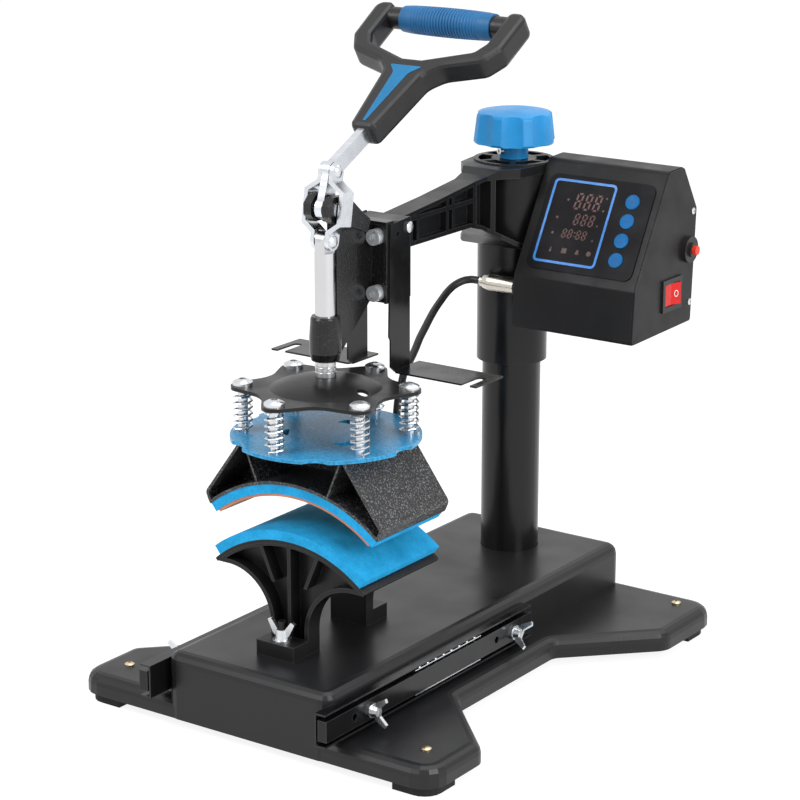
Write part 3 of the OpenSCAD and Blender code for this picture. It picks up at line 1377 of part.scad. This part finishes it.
base_shell();
rubber_feet();
base_screws();
post_tube();
stand_studs();
screw_nut();
rail_outer(-1);  // rail_outer_left
rail_outer(1);  // rail_outer_right
ball_cage(-1);  // ball_cage_left
ball_cage(1);  // ball_cage_right
rail_inner(-1);  // rail_inner_left
rail_inner(1);  // rail_inner_right
wing_screws(-1);  // wing_screws_left
wing_screws(1);  // wing_screws_right
stand_casting();
stand_pad();
stand_wing_nuts();
thrust_bearing();
lead_screw();
lift_knob();
knob_set_screw();
arm_casting();
sleeve_tube();
plunger_guide();
guide_bolts();
bracket(-1);  // bracket_left
bracket(1);  // bracket_right
arm_screws();
lever_pin();
lever_bar();
handle_yoke();
handle_inlay();
grip_bar();
grip_sleeve();
link_bored(-1);  // link_left
link_bored(1);  // link_right
link_rivets();
plunger_rod();
lock_nut();
star_plate();
head_springs();
pressure_plate();
head_bolts();
heater_housing();
foam_layer();
heating_mat();
cable_gland();
head_cable();
cable_plug();
case_shell();
case_cover();
control_boards();
display_panel();
key(0);  // key_1
key(1);  // key_2
key(2);  // key_3
key(3);  // key_4
power_switch();
reset_button();
panel_fittings();
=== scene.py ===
import bpy, bmesh, math
from mathutils import Vector, Matrix


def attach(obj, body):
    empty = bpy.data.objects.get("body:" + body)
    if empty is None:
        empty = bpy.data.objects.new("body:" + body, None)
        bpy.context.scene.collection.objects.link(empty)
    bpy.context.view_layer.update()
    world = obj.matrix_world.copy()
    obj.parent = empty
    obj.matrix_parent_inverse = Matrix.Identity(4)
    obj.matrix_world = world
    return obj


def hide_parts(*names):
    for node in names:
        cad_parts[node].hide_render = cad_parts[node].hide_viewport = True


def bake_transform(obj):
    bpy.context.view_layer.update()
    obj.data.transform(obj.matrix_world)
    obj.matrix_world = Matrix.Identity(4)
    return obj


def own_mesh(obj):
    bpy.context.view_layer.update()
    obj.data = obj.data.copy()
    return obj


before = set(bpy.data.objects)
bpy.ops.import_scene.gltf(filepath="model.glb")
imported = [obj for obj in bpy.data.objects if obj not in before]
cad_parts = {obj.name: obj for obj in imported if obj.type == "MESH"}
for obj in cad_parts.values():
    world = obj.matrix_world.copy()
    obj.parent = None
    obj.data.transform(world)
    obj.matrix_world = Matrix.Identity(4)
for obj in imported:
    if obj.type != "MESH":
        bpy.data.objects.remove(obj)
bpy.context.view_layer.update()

scene = bpy.context.scene
scene.view_settings.view_transform = "Standard"

# camera: direction and distance solved from the photograph
cam_data = bpy.data.cameras.new("camera")
cam = bpy.data.objects.new("camera", cam_data)
scene.collection.objects.link(cam)
cam_data.sensor_width = 36.0
cam_data.lens = 36.0 * 2590 / 800
cam_data.clip_end = 50
cam.location = (1.16006, -1.64667, 0.81272)
az, el = math.radians(35.2), math.radians(16.1)
back = Vector((math.sin(az) * math.cos(el), -math.cos(az) * math.cos(el), math.sin(el)))
right = Vector((math.cos(az), math.sin(az), 0))
up = back.cross(right)
cam.rotation_euler = Matrix((right, up, back)).transposed().to_euler()
scene.camera = cam

POST_Y, PRESS_Y = 0.164, -0.102

# ---------------------------------------------------------------- materials
def base_mat(name, color, rough, metal=0.0, coat=0.0, coat_rough=0.1, spec=0.5):
    m = bpy.data.materials.new(name)
    m.use_nodes = True
    nt = m.node_tree
    b = nt.nodes["Principled BSDF"]
    b.inputs["Base Color"].default_value = (*color, 1)
    b.inputs["Roughness"].default_value = rough
    b.inputs["Metallic"].default_value = metal
    b.inputs["Coat Weight"].default_value = coat
    b.inputs["Coat Roughness"].default_value = coat_rough
    b.inputs["Specular IOR Level"].default_value = spec
    return m, nt, b

def coords(nt, scale=(1, 1, 1)):
    tc = nt.nodes.new("ShaderNodeTexCoord")
    mp = nt.nodes.new("ShaderNodeMapping")
    mp.inputs["Scale"].default_value = scale
    nt.links.new(tc.outputs["Object"], mp.inputs["Vector"])
    return mp.outputs["Vector"]

def noise(nt, vec, scale, detail=3.0, rough=0.5):
    n = nt.nodes.new("ShaderNodeTexNoise")
    n.inputs["Scale"].default_value = scale
    n.inputs["Detail"].default_value = detail
    n.inputs["Roughness"].default_value = rough
    nt.links.new(vec, n.inputs["Vector"])
    return n.outputs["Fac"]

def ramp(nt, fac, stops):
    r = nt.nodes.new("ShaderNodeValToRGB")
    els = r.color_ramp.elements
    while len(els) < len(stops):
        els.new(0.5)
    for e, (p, c) in zip(els, stops):
        e.position = p
        e.color = (*c, 1) if len(c) == 3 else c
    nt.links.new(fac, r.inputs["Fac"])
    return r.outputs["Color"]

def grey(v):
    return (v, v, v)

def bump(nt, b, height, strength, distance):
    n = nt.nodes.new("ShaderNodeBump")
    n.inputs["Strength"].default_value = strength
    n.inputs["Distance"].default_value = distance
    nt.links.new(height, n.inputs["Height"])
    nt.links.new(n.outputs["Normal"], b.inputs["Normal"])
    return n

def edge_highlight_mix(nt, color, highlight_color, amount=0.5, radius=0.0012, lo=0.03, hi=0.25):
    """Mixes the lighter second colour into color where a small bevel turns the normal: a painted highlight along the
    edges.
    """
    bv = nt.nodes.new("ShaderNodeBevel")
    bv.samples = 4
    bv.inputs["Radius"].default_value = radius
    geo = nt.nodes.new("ShaderNodeNewGeometry")
    dot = nt.nodes.new("ShaderNodeVectorMath")
    dot.operation = "DOT_PRODUCT"
    nt.links.new(bv.outputs["Normal"], dot.inputs[0])
    nt.links.new(geo.outputs["Normal"], dot.inputs[1])
    mr = nt.nodes.new("ShaderNodeMapRange")
    mr.inputs["From Min"].default_value = 1.0 - lo * 0.1
    mr.inputs["From Max"].default_value = 1.0 - hi
    mr.inputs["To Min"].default_value = 0.0
    mr.inputs["To Max"].default_value = amount
    nt.links.new(dot.outputs["Value"], mr.inputs["Value"])
    mix = nt.nodes.new("ShaderNodeMix")
    mix.data_type = "RGBA"
    nt.links.new(mr.outputs["Result"], mix.inputs["Factor"])
    if isinstance(color, tuple):
        mix.inputs["A"].default_value = (*color, 1)
    else:
        nt.links.new(color, mix.inputs["A"])
    mix.inputs["B"].default_value = (*highlight_color, 1)
    return mix.outputs["Result"]

def painted(name, color, var=0.25, rough=0.38, grain=900, grain_h=0.00004, strength=0.25, metal=0.0,
            edge_highlight=None, coat=0.0, spec=0.5, patch=14, rough_var=0.08):
    m, nt, b = base_mat(name, color, rough, metal, coat, 0.15, spec)
    v = coords(nt)
    n = noise(nt, v, patch, 4, 0.6)
    lo = tuple(c * (1 - var) for c in color)
    hi = tuple(min(1, c * (1 + var)) for c in color)
    col = ramp(nt, n, [(0.3, lo), (0.7, hi)])
    # lighter colour along the edges: painted highlight
    if edge_highlight:
        col = edge_highlight_mix(nt, col, edge_highlight)
    nt.links.new(col, b.inputs["Base Color"])
    r = ramp(nt, noise(nt, v, patch * 3, 3), [(0.3, grey(rough - rough_var)), (0.7, grey(rough + rough_var))])
    nt.links.new(r, b.inputs["Roughness"])
    bump(nt, b, noise(nt, v, grain, 2), strength, grain_h)
    return m

def hammered(name, color, cell=260, rough=0.3, depth=0.0003, strength=0.6, edge_highlight=None, speck=None, coat=0.3, var=0.3,
             spec=0.5, at=(0.35, 0.62, 0.72)):
    m, nt, b = base_mat(name, color, rough, 0.0, coat, 0.1, spec)
    v = coords(nt)
    n1 = noise(nt, v, cell, 1.5, 0.5)
    lo = tuple(c * (1 - var) for c in color)
    hi = tuple(min(1, c * (1 + var)) for c in color)
    stops = [(at[0], lo), (at[1], hi)]
    if speck:
        stops.append((at[2], speck))
    col = ramp(nt, n1, stops)
    # lighter colour along the edges: painted highlight
    if edge_highlight:
        col = edge_highlight_mix(nt, col, edge_highlight)
    nt.links.new(col, b.inputs["Base Color"])
    bump(nt, b, n1, strength, depth)
    return m

def metal(name, color, rough=0.28, streak=(1, 1, 60), scale=40, var=0.12, bump_h=0.00003, full=1.0):
    m, nt, b = base_mat(name, color, rough, full)
    v = coords(nt, streak)
    n = noise(nt, v, scale, 4, 0.6)
    lo = tuple(c * (1 - var) for c in color)
    hi = tuple(min(1, c * (1 + var)) for c in color)
    nt.links.new(ramp(nt, n, [(0.3, lo), (0.7, hi)]), b.inputs["Base Color"])
    nt.links.new(ramp(nt, noise(nt, v, scale * 2, 2), [(0.3, grey(rough * 0.75)), (0.7, grey(rough * 1.35))]),
                 b.inputs["Roughness"])
    bump(nt, b, n, 0.3, bump_h)
    return m

def foam_mat(name, color):
    m, nt, b = base_mat(name, color, 0.75, 0, 0, 0.1, 0.25)
    v = coords(nt)
    n = noise(nt, v, 650, 3, 0.7)
    patch = noise(nt, v, 60, 4, 0.7)
    lo = tuple(c * 0.84 for c in color)
    hi = tuple(min(1, c * 1.14 + 0.01) for c in color)
    c1 = ramp(nt, patch, [(0.32, lo), (0.68, hi)])
    mix = nt.nodes.new("ShaderNodeMix")
    mix.data_type = "RGBA"
    mix.blend_type = "MULTIPLY"
    mix.inputs["Factor"].default_value = 0.35
    nt.links.new(c1, mix.inputs["A"])
    nt.links.new(ramp(nt, n, [(0.35, grey(0.55)), (0.65, grey(1.15))]), mix.inputs["B"])
    nt.links.new(mix.outputs["Result"], b.inputs["Base Color"])
    bump(nt, b, n, 0.5, 0.0003)
    return m

BLACK = (0.006, 0.006, 0.0065)
# the edge colours below are lighter than each paint: painted highlights along the edges
M = {
    "base": painted("satin_black_paint", (0.0105, 0.0105, 0.0115), 0.15, 0.34, 2200, 0.00003, 0.2, edge_highlight=(0.03, 0.03, 0.032), spec=0.32,
                    patch=6),
    "post": painted("post_black_paint", BLACK, 0.15, 0.24, 1600, 0.00003, 0.15, edge_highlight=(0.03, 0.03, 0.032), spec=0.3, patch=6,
                    rough_var=0.04),
    "black_gloss": painted("gloss_black_paint", BLACK, 0.2, 0.2, 700, 0.00004, 0.2, edge_highlight=(0.045, 0.045, 0.05), spec=0.3),
    "black_box": painted("box_black_paint", (0.0095, 0.0095, 0.0105), 0.15, 0.42, 2600, 0.00005, 0.3, edge_highlight=(0.04, 0.04, 0.044),
                         spec=0.22),
    "rail": painted("rail_black", (0.005, 0.005, 0.0055), 0.25, 0.22, 900, 0.00003, 0.2, edge_highlight=(0.10, 0.10, 0.11), spec=0.3),
    "cast_black": painted("cast_black", (0.0085, 0.0085, 0.009), 0.2, 0.34, 420, 0.00010, 0.3, edge_highlight=(0.09, 0.09, 0.095), spec=0.25),
    "barrel_black": painted("barrel_black", (0.0045, 0.0045, 0.005), 0.2, 0.16, 700, 0.00003, 0.15, edge_highlight=(0.05, 0.05, 0.055), spec=0.3),
    "hammer_black": hammered("hammertone_black", (0.0065, 0.0065, 0.007), 700, 0.24, 0.00030, 0.8, edge_highlight=(0.06, 0.06, 0.065),
                             speck=(0.03, 0.03, 0.033), coat=0.1, spec=0.35),
    "crinkle": hammered("crinkle_black", (0.006, 0.006, 0.0065), 720, 0.32, 0.0006, 1.0, edge_highlight=(0.04, 0.04, 0.045),
                        speck=(0.17, 0.17, 0.18), coat=0.1, at=(0.42, 0.54, 0.66)),
    "blue_plate": hammered("hammered_blue", (0.012, 0.25, 0.50), 420, 0.3, 0.0004, 0.6, edge_highlight=(0.14, 0.50, 0.72), coat=0.1,
                           var=0.28, spec=0.35),
    "foam": foam_mat("blue_sponge", (0.008, 0.36, 0.72)),
    "silicone": painted("orange_silicone", (0.56, 0.20, 0.10), 0.2, 0.6, 800, 0.00004, 0.3, patch=40),
    "rubber": painted("black_rubber", (0.010, 0.010, 0.010), 0.3, 0.7, 500, 0.0001, 0.4, spec=0.3),
    "zinc": metal("zinc_plate", (0.66, 0.68, 0.70), 0.27, (1, 1, 1), 60, 0.08, 0.00001),
    "bright_zinc": metal("bright_zinc", (0.74, 0.76, 0.78), 0.34, (1, 1, 1), 60, 0.08, 0.00001, full=0.7),
    "nickel": metal("nickel_plate", (0.60, 0.56, 0.50), 0.22, (1, 1, 1), 60, 0.08, 0.00001),
    "zinc_cast": metal("zinc_lever", (0.72, 0.75, 0.79), 0.24, (1, 3, 3), 30, 0.08, 0.00002),
    "turned": metal("turned_steel", (0.60, 0.60, 0.61), 0.2, (1, 1, 1), 20, 0.06, 0.000004),
    "brassy": metal("brass_screw", (0.66, 0.53, 0.34), 0.3, (1, 1, 1), 200, 0.2),
    "blue_knob": painted("blue_plastic", (0.014, 0.25, 0.58), 0.12, 0.34, 1200, 0.00003, 0.2, patch=20, spec=0.3,
                         edge_highlight=(0.08, 0.40, 0.72)),
    "blue_inlay": painted("blue_inlay", (0.010, 0.155, 0.34), 0.12, 0.38, 1200, 0.00003, 0.2, patch=20, spec=0.25,
                          edge_highlight=(0.04, 0.26, 0.55)),
    "blue_grip": painted("blue_rubber_grip", (0.016, 0.125, 0.30), 0.15, 0.45, 900, 0.00004, 0.3, patch=40, spec=0.3,
                         edge_highlight=(0.03, 0.19, 0.45)),
    "black_plastic": painted("black_plastic", (0.012, 0.012, 0.013), 0.2, 0.36, 1500, 0.00005, 0.3, edge_highlight=(0.045, 0.045, 0.05),
                             spec=0.35),
    "overlay": painted("display_gloss", (0.0045, 0.0045, 0.006), 0.3, 0.4, 300, 0.00001, 0.1, spec=0.12),
    "key": painted("key_blue", (0.004, 0.125, 0.35), 0.15, 0.4, 900, 0.00003, 0.2, patch=60, spec=0.15),
    "red": painted("rocker_red", (0.60, 0.014, 0.012), 0.12, 0.3, 900, 0.00002, 0.2, patch=60, spec=0.25),
    "orange_red": painted("button_red", (0.70, 0.045, 0.02), 0.12, 0.32, 900, 0.00002, 0.2, patch=60, spec=0.3),
    "board": painted("board_green", (0.02, 0.12, 0.05), 0.2, 0.5, 900, 0.00002, 0.2),
    "cable": painted("cable_jacket", (0.012, 0.012, 0.013), 0.25, 0.4, 700, 0.00006, 0.3, spec=0.35),
}

USE = {
    "base_shell": "base", "rubber_feet": "rubber", "base_screws": "brassy", "post_tube": "post", "stand_studs": "black_gloss",
    "screw_nut": "brassy", "rail_outer_left": "rail", "rail_outer_right": "rail", "ball_cage_left": "zinc",
    "ball_cage_right": "zinc", "rail_inner_left": "rail", "rail_inner_right": "rail", "wing_screws_left": "zinc",
    "wing_screws_right": "zinc", "stand_casting": "cast_black", "stand_pad": "foam", "stand_wing_nuts": "zinc",
    "thrust_bearing": "turned", "lead_screw": "turned", "lift_knob": "blue_knob", "knob_set_screw": "zinc",
    "arm_casting": "cast_black", "sleeve_tube": "post", "plunger_guide": "hammer_black", "guide_bolts": "bright_zinc",
    "bracket_left": "black_gloss", "bracket_right": "black_gloss", "arm_screws": "zinc", "lever_pin": "zinc",
    "lever_bar": "zinc_cast", "handle_yoke": "black_plastic", "handle_inlay": "blue_inlay", "grip_bar": "black_plastic",
    "grip_sleeve": "blue_grip", "link_left": "zinc_cast", "link_right": "zinc_cast", "link_rivets": "zinc",
    "plunger_rod": "turned", "lock_nut": "turned", "star_plate": "cast_black", "head_springs": "zinc",
    "pressure_plate": "blue_plate", "head_bolts": "zinc", "heater_housing": "crinkle", "foam_layer": "foam",
    "heating_mat": "silicone", "cable_gland": "black_plastic", "head_cable": "cable", "cable_plug": "nickel",
    "case_shell": "black_box", "case_cover": "black_box", "control_boards": "board", "display_panel": "overlay",
    "key_1": "key", "key_2": "key", "key_3": "key", "key_4": "key", "power_switch": "red",
    "reset_button": "orange_red", "panel_fittings": "black_plastic",
}
SOFT_ANGLE = {"base_shell": 50, "handle_yoke": 45, "head_springs": 80, "head_cable": 80, "display_panel": 30}

for name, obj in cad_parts.items():
    me = obj.data
    mat = M[USE[name]]
    me.materials.clear()
    me.materials.append(mat)
    for p in me.polygons:
        p.use_smooth = True
        p.material_index = 0
    me.set_sharp_from_angle(angle=math.radians(SOFT_ANGLE.get(name, 32)))

# ---------------------------------------------------------------- mesh helpers
def new_obj(name, verts, faces, mat, smooth=True, angle=35):
    me = bpy.data.meshes.new(name)
    me.from_pydata([tuple(v) for v in verts], [], faces)
    me.validate()
    me.update()
    o = bpy.data.objects.new(name, me)
    scene.collection.objects.link(o)
    me.materials.append(mat)
    for p in me.polygons:
        p.use_smooth = smooth
    if smooth:
        me.set_sharp_from_angle(angle=math.radians(angle))
    return o

def poly_prism(name, outline, holes, to_world, z0, z1, mat):
    """Flat plate between z0 and z1 with an outline and at most one hole of the same count of points."""
    n = len(outline)
    verts, faces = [], []
    rings = [outline] + ([holes] if holes else [])
    for ring in rings:
        for z in (z0, z1):
            verts += [to_world(x, y, z) for x, y in ring]
    for k in range(n):
        j = (k + 1) % n
        faces.append((k, j, n + j, n + k))
        if holes:
            faces.append((3 * n + k, 3 * n + j, 2 * n + j, 2 * n + k))
            faces.append((n + k, n + j, 3 * n + j, 3 * n + k))
            faces.append((2 * n + k, 2 * n + j, j, k))
    if not holes:
        faces.append(tuple(range(n, 2 * n)))
        faces.append(tuple(reversed(range(n))))
    return new_obj(name, verts, faces, mat, False)

def rounded_rect(x0, y0, x1, y1, r, steps=6):
    pts = []
    for cx, cy, a0 in ((x1 - r, y1 - r, 0), (x0 + r, y1 - r, 90), (x0 + r, y0 + r, 180), (x1 - r, y0 + r, 270)):
        for i in range(steps + 1):
            a = math.radians(a0 + 90 * i / steps)
            pts.append((cx + r * math.cos(a), cy + r * math.sin(a)))
    return pts

# ---------------------------------------------------------------- cord: from the plug on the box to the gland on the head
ROUTE = [(-4, 122, 306), (-9, 122, 306), (-14, 121, 306), (-19, 117, 305), (-23, 110, 302), (-24, 101, 298),
         (-23, 90, 293), (-21, 78, 288), (-18, 66, 283), (-14, 53, 278), (-10, 40, 273), (-5, 27, 268), (0, 14, 264),
         (4, 3, 261), (7, -7, 256), (9, -13, 249), (9, -17, 240), (9, -19, 230), (9, -20, 221), (9, -21, 216), (9, -22.6, 211)]
CABLE_D = 0.0064

def smooth_path(points, per=5):
    pts = [Vector(q) / 1000 for q in points]
    out = []
    for i in range(len(pts) - 1):
        p0 = pts[max(i - 1, 0)]
        p1, p2 = pts[i], pts[i + 1]
        p3 = pts[min(i + 2, len(pts) - 1)]
        for k in range(per):
            t = k / per
            out.append(0.5 * ((2 * p1) + (p2 - p0) * t + (2 * p0 - 5 * p1 + 4 * p2 - p3) * t * t
                              + (3 * p1 - p0 - 3 * p2 + p3) * t ** 3))
    out.append(pts[-1])
    return out

def sweep(name, path, radius, sides, mat, caps=True):
    verts, faces = [], []
    side = None
    for i, q in enumerate(path):
        t = (path[min(i + 1, len(path) - 1)] - path[max(i - 1, 0)]).normalized()
        if side is None:
            side = t.cross(Vector((0.05, 0.3, 1))).normalized()
        side = (side - t * side.dot(t)).normalized()
        other = t.cross(side)
        r = radius(i) if callable(radius) else radius
        for k in range(sides):
            a = 2 * math.pi * k / sides
            verts.append(q + r * (math.cos(a) * side + math.sin(a) * other))
    for i in range(len(path) - 1):
        for k in range(sides):
            j = (k + 1) % sides
            faces.append((i * sides + k, i * sides + j, (i + 1) * sides + j, (i + 1) * sides + k))
    if caps:
        faces.append(tuple(reversed(range(sides))))
        faces.append(tuple((len(path) - 1) * sides + k for k in range(sides)))
    return new_obj(name, verts, faces, mat, True, 60)

cable_path = smooth_path(ROUTE)
cable = sweep("head_cable_jacket", cable_path, CABLE_D / 2, 16, M["cable"])
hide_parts("head_cable")
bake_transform(cable)

# springs of the head: a copy of the coils that moves with the head
spring_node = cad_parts["head_springs"]
coils = bpy.data.objects.new("head_spring_coils", spring_node.data.copy())
scene.collection.objects.link(coils)
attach(coils, "head")
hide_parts("head_springs")
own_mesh(coils)

# ---------------------------------------------------------------- display: frame line, digits and small signs
FACE_LOW = Vector((0.035, 0.112, 0.319))
FACE_A = math.atan2(90, 52)
FU = Vector((1, 0, 0))
FV = Vector((0, math.cos(FACE_A), math.sin(FACE_A)))
FN = FU.cross(FV)

def face_pt(x, y, z):
    return FACE_LOW + (FU * x + FV * y + FN * z) / 1000

PANEL_T = 1.0
M["frame_blue"] = painted("frame_line_blue", (0.016, 0.20, 0.62), 0.12, 0.3, 900, 0.00001, 0.1, patch=60)
M["digit"] = painted("display_digits", (0.085, 0.020, 0.016), 0.3, 0.35, 900, 0.00001, 0.1, patch=200)
M["sign"] = painted("display_signs", (0.055, 0.014, 0.012), 0.3, 0.35, 900, 0.00001, 0.1, patch=200)
ring = poly_prism("display_frame_line", rounded_rect(13, 14, 72.6, 87, 4.2), rounded_rect(15.1, 16.1, 70.5, 84.9, 2.4),
                  face_pt, PANEL_T, PANEL_T + 0.12, M["frame_blue"])
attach(ring, "arm")

def segments(x, y, w, h, t, which="abcdefg", lean=0.12):
    """Outlines of the seven strokes of a digit whose lower left corner is x, y."""
    m = h / 2
    g = t * 0.16
    bars = {
        "a": [(t * 0.6 + g, h), (w - t * 0.6 - g, h), (w - t * 1.1 - g, h - t), (t * 1.1 + g, h - t)],
        "d": [(t * 1.1 + g, t), (w - t * 1.1 - g, t), (w - t * 0.6 - g, 0), (t * 0.6 + g, 0)],
        "g": [(t * 0.7 + g, m), (t * 1.1 + g, m + t / 2), (w - t * 1.1 - g, m + t / 2), (w - t * 0.7 - g, m),
              (w - t * 1.1 - g, m - t / 2), (t * 1.1 + g, m - t / 2)],
        "f": [(0, h - t * 0.5 - g), (t, h - t * 1.2 - g), (t, m + t * 0.6 + g), (t * 0.5, m + t * 0.15 + g), (0, m + t * 0.6 + g)],
        "b": [(w - t, h - t * 1.2 - g), (w, h - t * 0.5 - g), (w, m + t * 0.6 + g), (w - t * 0.5, m + t * 0.15 + g), (w - t, m + t * 0.6 + g)],
        "e": [(0, m - t * 0.6 - g), (t * 0.5, m - t * 0.15 - g), (t, m - t * 0.6 - g), (t, t * 1.2 + g), (0, t * 0.5 + g)],
        "c": [(w - t, m - t * 0.6 - g), (w - t * 0.5, m - t * 0.15 - g), (w, m - t * 0.6 - g), (w, t * 0.5 + g), (w - t, t * 1.2 + g)],
    }
    return [[(x + px + lean * py, y + py) for px, py in bars[k]] for k in which]

def flat_plates(name, outlines, to_world, z, mat):
    verts, faces = [], []
    for o in outlines:
        area2 = sum(a[0] * b[1] - b[0] * a[1] for a, b in zip(o, o[1:] + o[:1]))
        if area2 < 0:
            o = list(reversed(o))
        base = len(verts)
        verts += [to_world(px, py, z) for px, py in o]
        faces.append(tuple(range(base, base + len(o))))
    return new_obj(name, verts, faces, mat, False)

digits = []
for i in range(3):
    digits += segments(36.5 + 8.9 * i, 62, 6.4, 14.5, 1.7)
    digits += segments(40.5 + 7.0 * i, 48.6, 4.8, 10.2, 1.2)
for i, x in enumerate((33.2, 38.8, 46.6, 52.2)):
    digits += segments(x, 36.6, 4.0, 8.0, 1.0)
for y in (38.6, 41.6):
    digits.append([(44.6 + 0.1 * (y - 38.6), y), (45.7 + 0.1 * (y - 38.6), y), (45.9, y + 1.1), (44.8, y + 1.1)])
rows = flat_plates("display_digits", digits, face_pt, PANEL_T + 0.06, M["digit"])
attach(rows, "arm")

def disc(cx, cy, r, n=18, squash=1.0):
    return [(cx + r * math.cos(2 * math.pi * k / n), cy + squash * r * math.sin(2 * math.pi * k / n)) for k in range(n)]

signs = [disc(63.5, 26.0, 2.2), [(26, 23.6), (28.6, 23.6), (27.3, 28.4)], [(37.8, 23.6), (42.4, 23.6), (42.4, 28.0), (37.8, 28.0)],
         [(50.6, 24.0), (54.6, 24.0), (53.4, 28.0), (51.8, 28.0)], disc(30.4, 69.5, 1.1), disc(65.8, 74.5, 0.9), disc(65.6, 63.6, 1.0),
         disc(24.8, 53.5, 1.2), disc(63.8, 50.2, 0.8), disc(24.6, 40.0, 1.2), disc(63.4, 37.2, 0.8)]
dots = flat_plates("display_signs", signs, face_pt, PANEL_T + 0.05, M["sign"])
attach(dots, "arm")

# keys: a fine raised rim and plus, minus, triangle and two-bar marks
M["key_mark"] = painted("key_marks", (0.008, 0.035, 0.16), 0.2, 0.4, 900, 0.00001, 0.1, patch=80)
KEY_TOP = 1.8
for i, ky in enumerate((24, 40.8, 57.6, 74.4)):
    rim = poly_prism(f"key_rim_{i + 1}", [(x, y) for x, y in disc(90, ky, 6.2, 40)], [(x, y) for x, y in disc(90, ky, 5.5, 40)],
                     face_pt, KEY_TOP, KEY_TOP + 0.18, M["key"])
    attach(rim, f"key_{i + 1}")
    if i == 3:
        marks = [[(88, 74.0), (92, 74.0), (92, 74.8), (88, 74.8)], [(89.6, 72.4), (90.4, 72.4), (90.4, 76.4), (89.6, 76.4)]]
    elif i == 2:
        marks = [[(88, 57.2), (92, 57.2), (92, 58.0), (88, 58.0)]]
    elif i == 1:
        marks = [[(88.4, 39.2), (91.6, 39.2), (90, 42.4)]]
    else:
        marks = [[(88.4, 22.6), (89.4, 22.6), (89.4, 25.4), (88.4, 25.4)], [(90.6, 22.6), (91.6, 22.6), (91.6, 25.4), (90.6, 25.4)]]
    mk = flat_plates(f"key_mark_{i + 1}", marks, face_pt, KEY_TOP + 0.04, M["key_mark"])
    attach(mk, f"key_{i + 1}")

# rocker: a white ring on its raised half
M["white_mark"] = painted("white_mark", (0.8, 0.8, 0.8), 0.03, 0.4, 900, 0.00001, 0.1, patch=80)
rock_a = math.radians(-8)
RX, RY, RZ = 0.146, 0.171, 0.3065

def rocker_pt(x, y, z):
    # plate coordinates: x along the rocker, y up, z out of its rear half
    half = 10.5
    slope = math.atan2(1.8, half)
    px = 4.8 + z * math.cos(slope) + x * math.sin(slope)
    py = x * math.cos(slope) - z * math.sin(slope)
    wx = px * math.cos(rock_a) - py * math.sin(rock_a)
    wy = px * math.sin(rock_a) + py * math.cos(rock_a)
    return Vector((RX + wx / 1000, RY + wy / 1000, RZ + y / 1000))

mark = poly_prism("rocker_ring_mark", disc(5.6, 0, 2.3, 28, 1.25), disc(5.6, 0, 1.7, 28, 1.3), rocker_pt, 0.02, 0.1, M["white_mark"])
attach(mark, "power_rocker")

# ---------------------------------------------------------------- floor and light
def seen_ray(nt):
    """1 for camera, glossy and transmission rays, 0 for the light that falls on surfaces."""
    path = nt.nodes.new("ShaderNodeLightPath")
    total = path.outputs["Is Camera Ray"]
    for kind in ("Is Glossy Ray", "Is Transmission Ray"):
        m = nt.nodes.new("ShaderNodeMath")
        m.operation = "MAXIMUM"
        nt.links.new(total, m.inputs[0])
        nt.links.new(path.outputs[kind], m.inputs[1])
        total = m.outputs[0]
    return total

floor = new_obj("floor", [(-8, -8, 0), (8, -8, 0), (8, 8, 0), (-8, 8, 0)], [(0, 1, 2, 3)], M["base"], False)
fm = bpy.data.materials.new("floor_white")
fm.use_nodes = True
nt = fm.node_tree
nt.nodes.clear()
out = nt.nodes.new("ShaderNodeOutputMaterial")
mix = nt.nodes.new("ShaderNodeMixShader")
dif = nt.nodes.new("ShaderNodeBsdfDiffuse")
dif.inputs["Color"].default_value = (0.86, 0.86, 0.86, 1)
emi = nt.nodes.new("ShaderNodeEmission")
emi.inputs["Color"].default_value = (1, 1, 1, 1)
emi.inputs["Strength"].default_value = 0.88
add = nt.nodes.new("ShaderNodeAddShader")
dif2 = nt.nodes.new("ShaderNodeBsdfDiffuse")
dif2.inputs["Color"].default_value = (0.26, 0.26, 0.26, 1)
nt.links.new(dif2.outputs[0], add.inputs[0])
nt.links.new(emi.outputs[0], add.inputs[1])
nt.links.new(seen_ray(nt), mix.inputs["Fac"])
nt.links.new(dif.outputs[0], mix.inputs[1])
nt.links.new(add.outputs[0], mix.inputs[2])
nt.links.new(mix.outputs[0], out.inputs["Surface"])
floor.data.materials.clear()
floor.data.materials.append(fm)

world = bpy.data.worlds.new("studio")
scene.world = world
world.use_nodes = True
wn = world.node_tree
wn.nodes.clear()
wo = wn.nodes.new("ShaderNodeOutputWorld")
wm = wn.nodes.new("ShaderNodeMixShader")
bg1 = wn.nodes.new("ShaderNodeBackground")
bg1.inputs["Color"].default_value = (1, 1, 1, 1)
bg1.inputs["Strength"].default_value = 0.55
bg2 = wn.nodes.new("ShaderNodeBackground")
bg2.inputs["Color"].default_value = (1, 1, 1, 1)
bg2.inputs["Strength"].default_value = 1.0
wn.links.new(seen_ray(wn), wm.inputs["Fac"])
wn.links.new(bg1.outputs[0], wm.inputs[1])
wn.links.new(bg2.outputs[0], wm.inputs[2])
wn.links.new(wm.outputs[0], wo.inputs["Surface"])

def area(name, loc, target, size, power, size_y=None):
    l = bpy.data.lights.new(name, "AREA")
    l.energy = power
    l.size = size
    if size_y:
        l.shape = "RECTANGLE"
        l.size_y = size_y
    o = bpy.data.objects.new(name, l)
    scene.collection.objects.link(o)
    o.location = loc
    o.rotation_euler = (Vector(target) - Vector(loc)).to_track_quat("-Z", "Y").to_euler()
    return o

area("key_light", (-0.9, -1.6, 1.9), (0, 0, 0.25), 1.1, 26)
area("right_light", (1.9, -0.5, 1.1), (0, 0, 0.25), 0.9, 22)
area("back_light", (0.5, 1.5, 2.2), (0, 0, 0.3), 1.2, 8)
area("top_light", (0.3, 0.1, 2.2), (0, 0, 0.2), 1.4, 16)
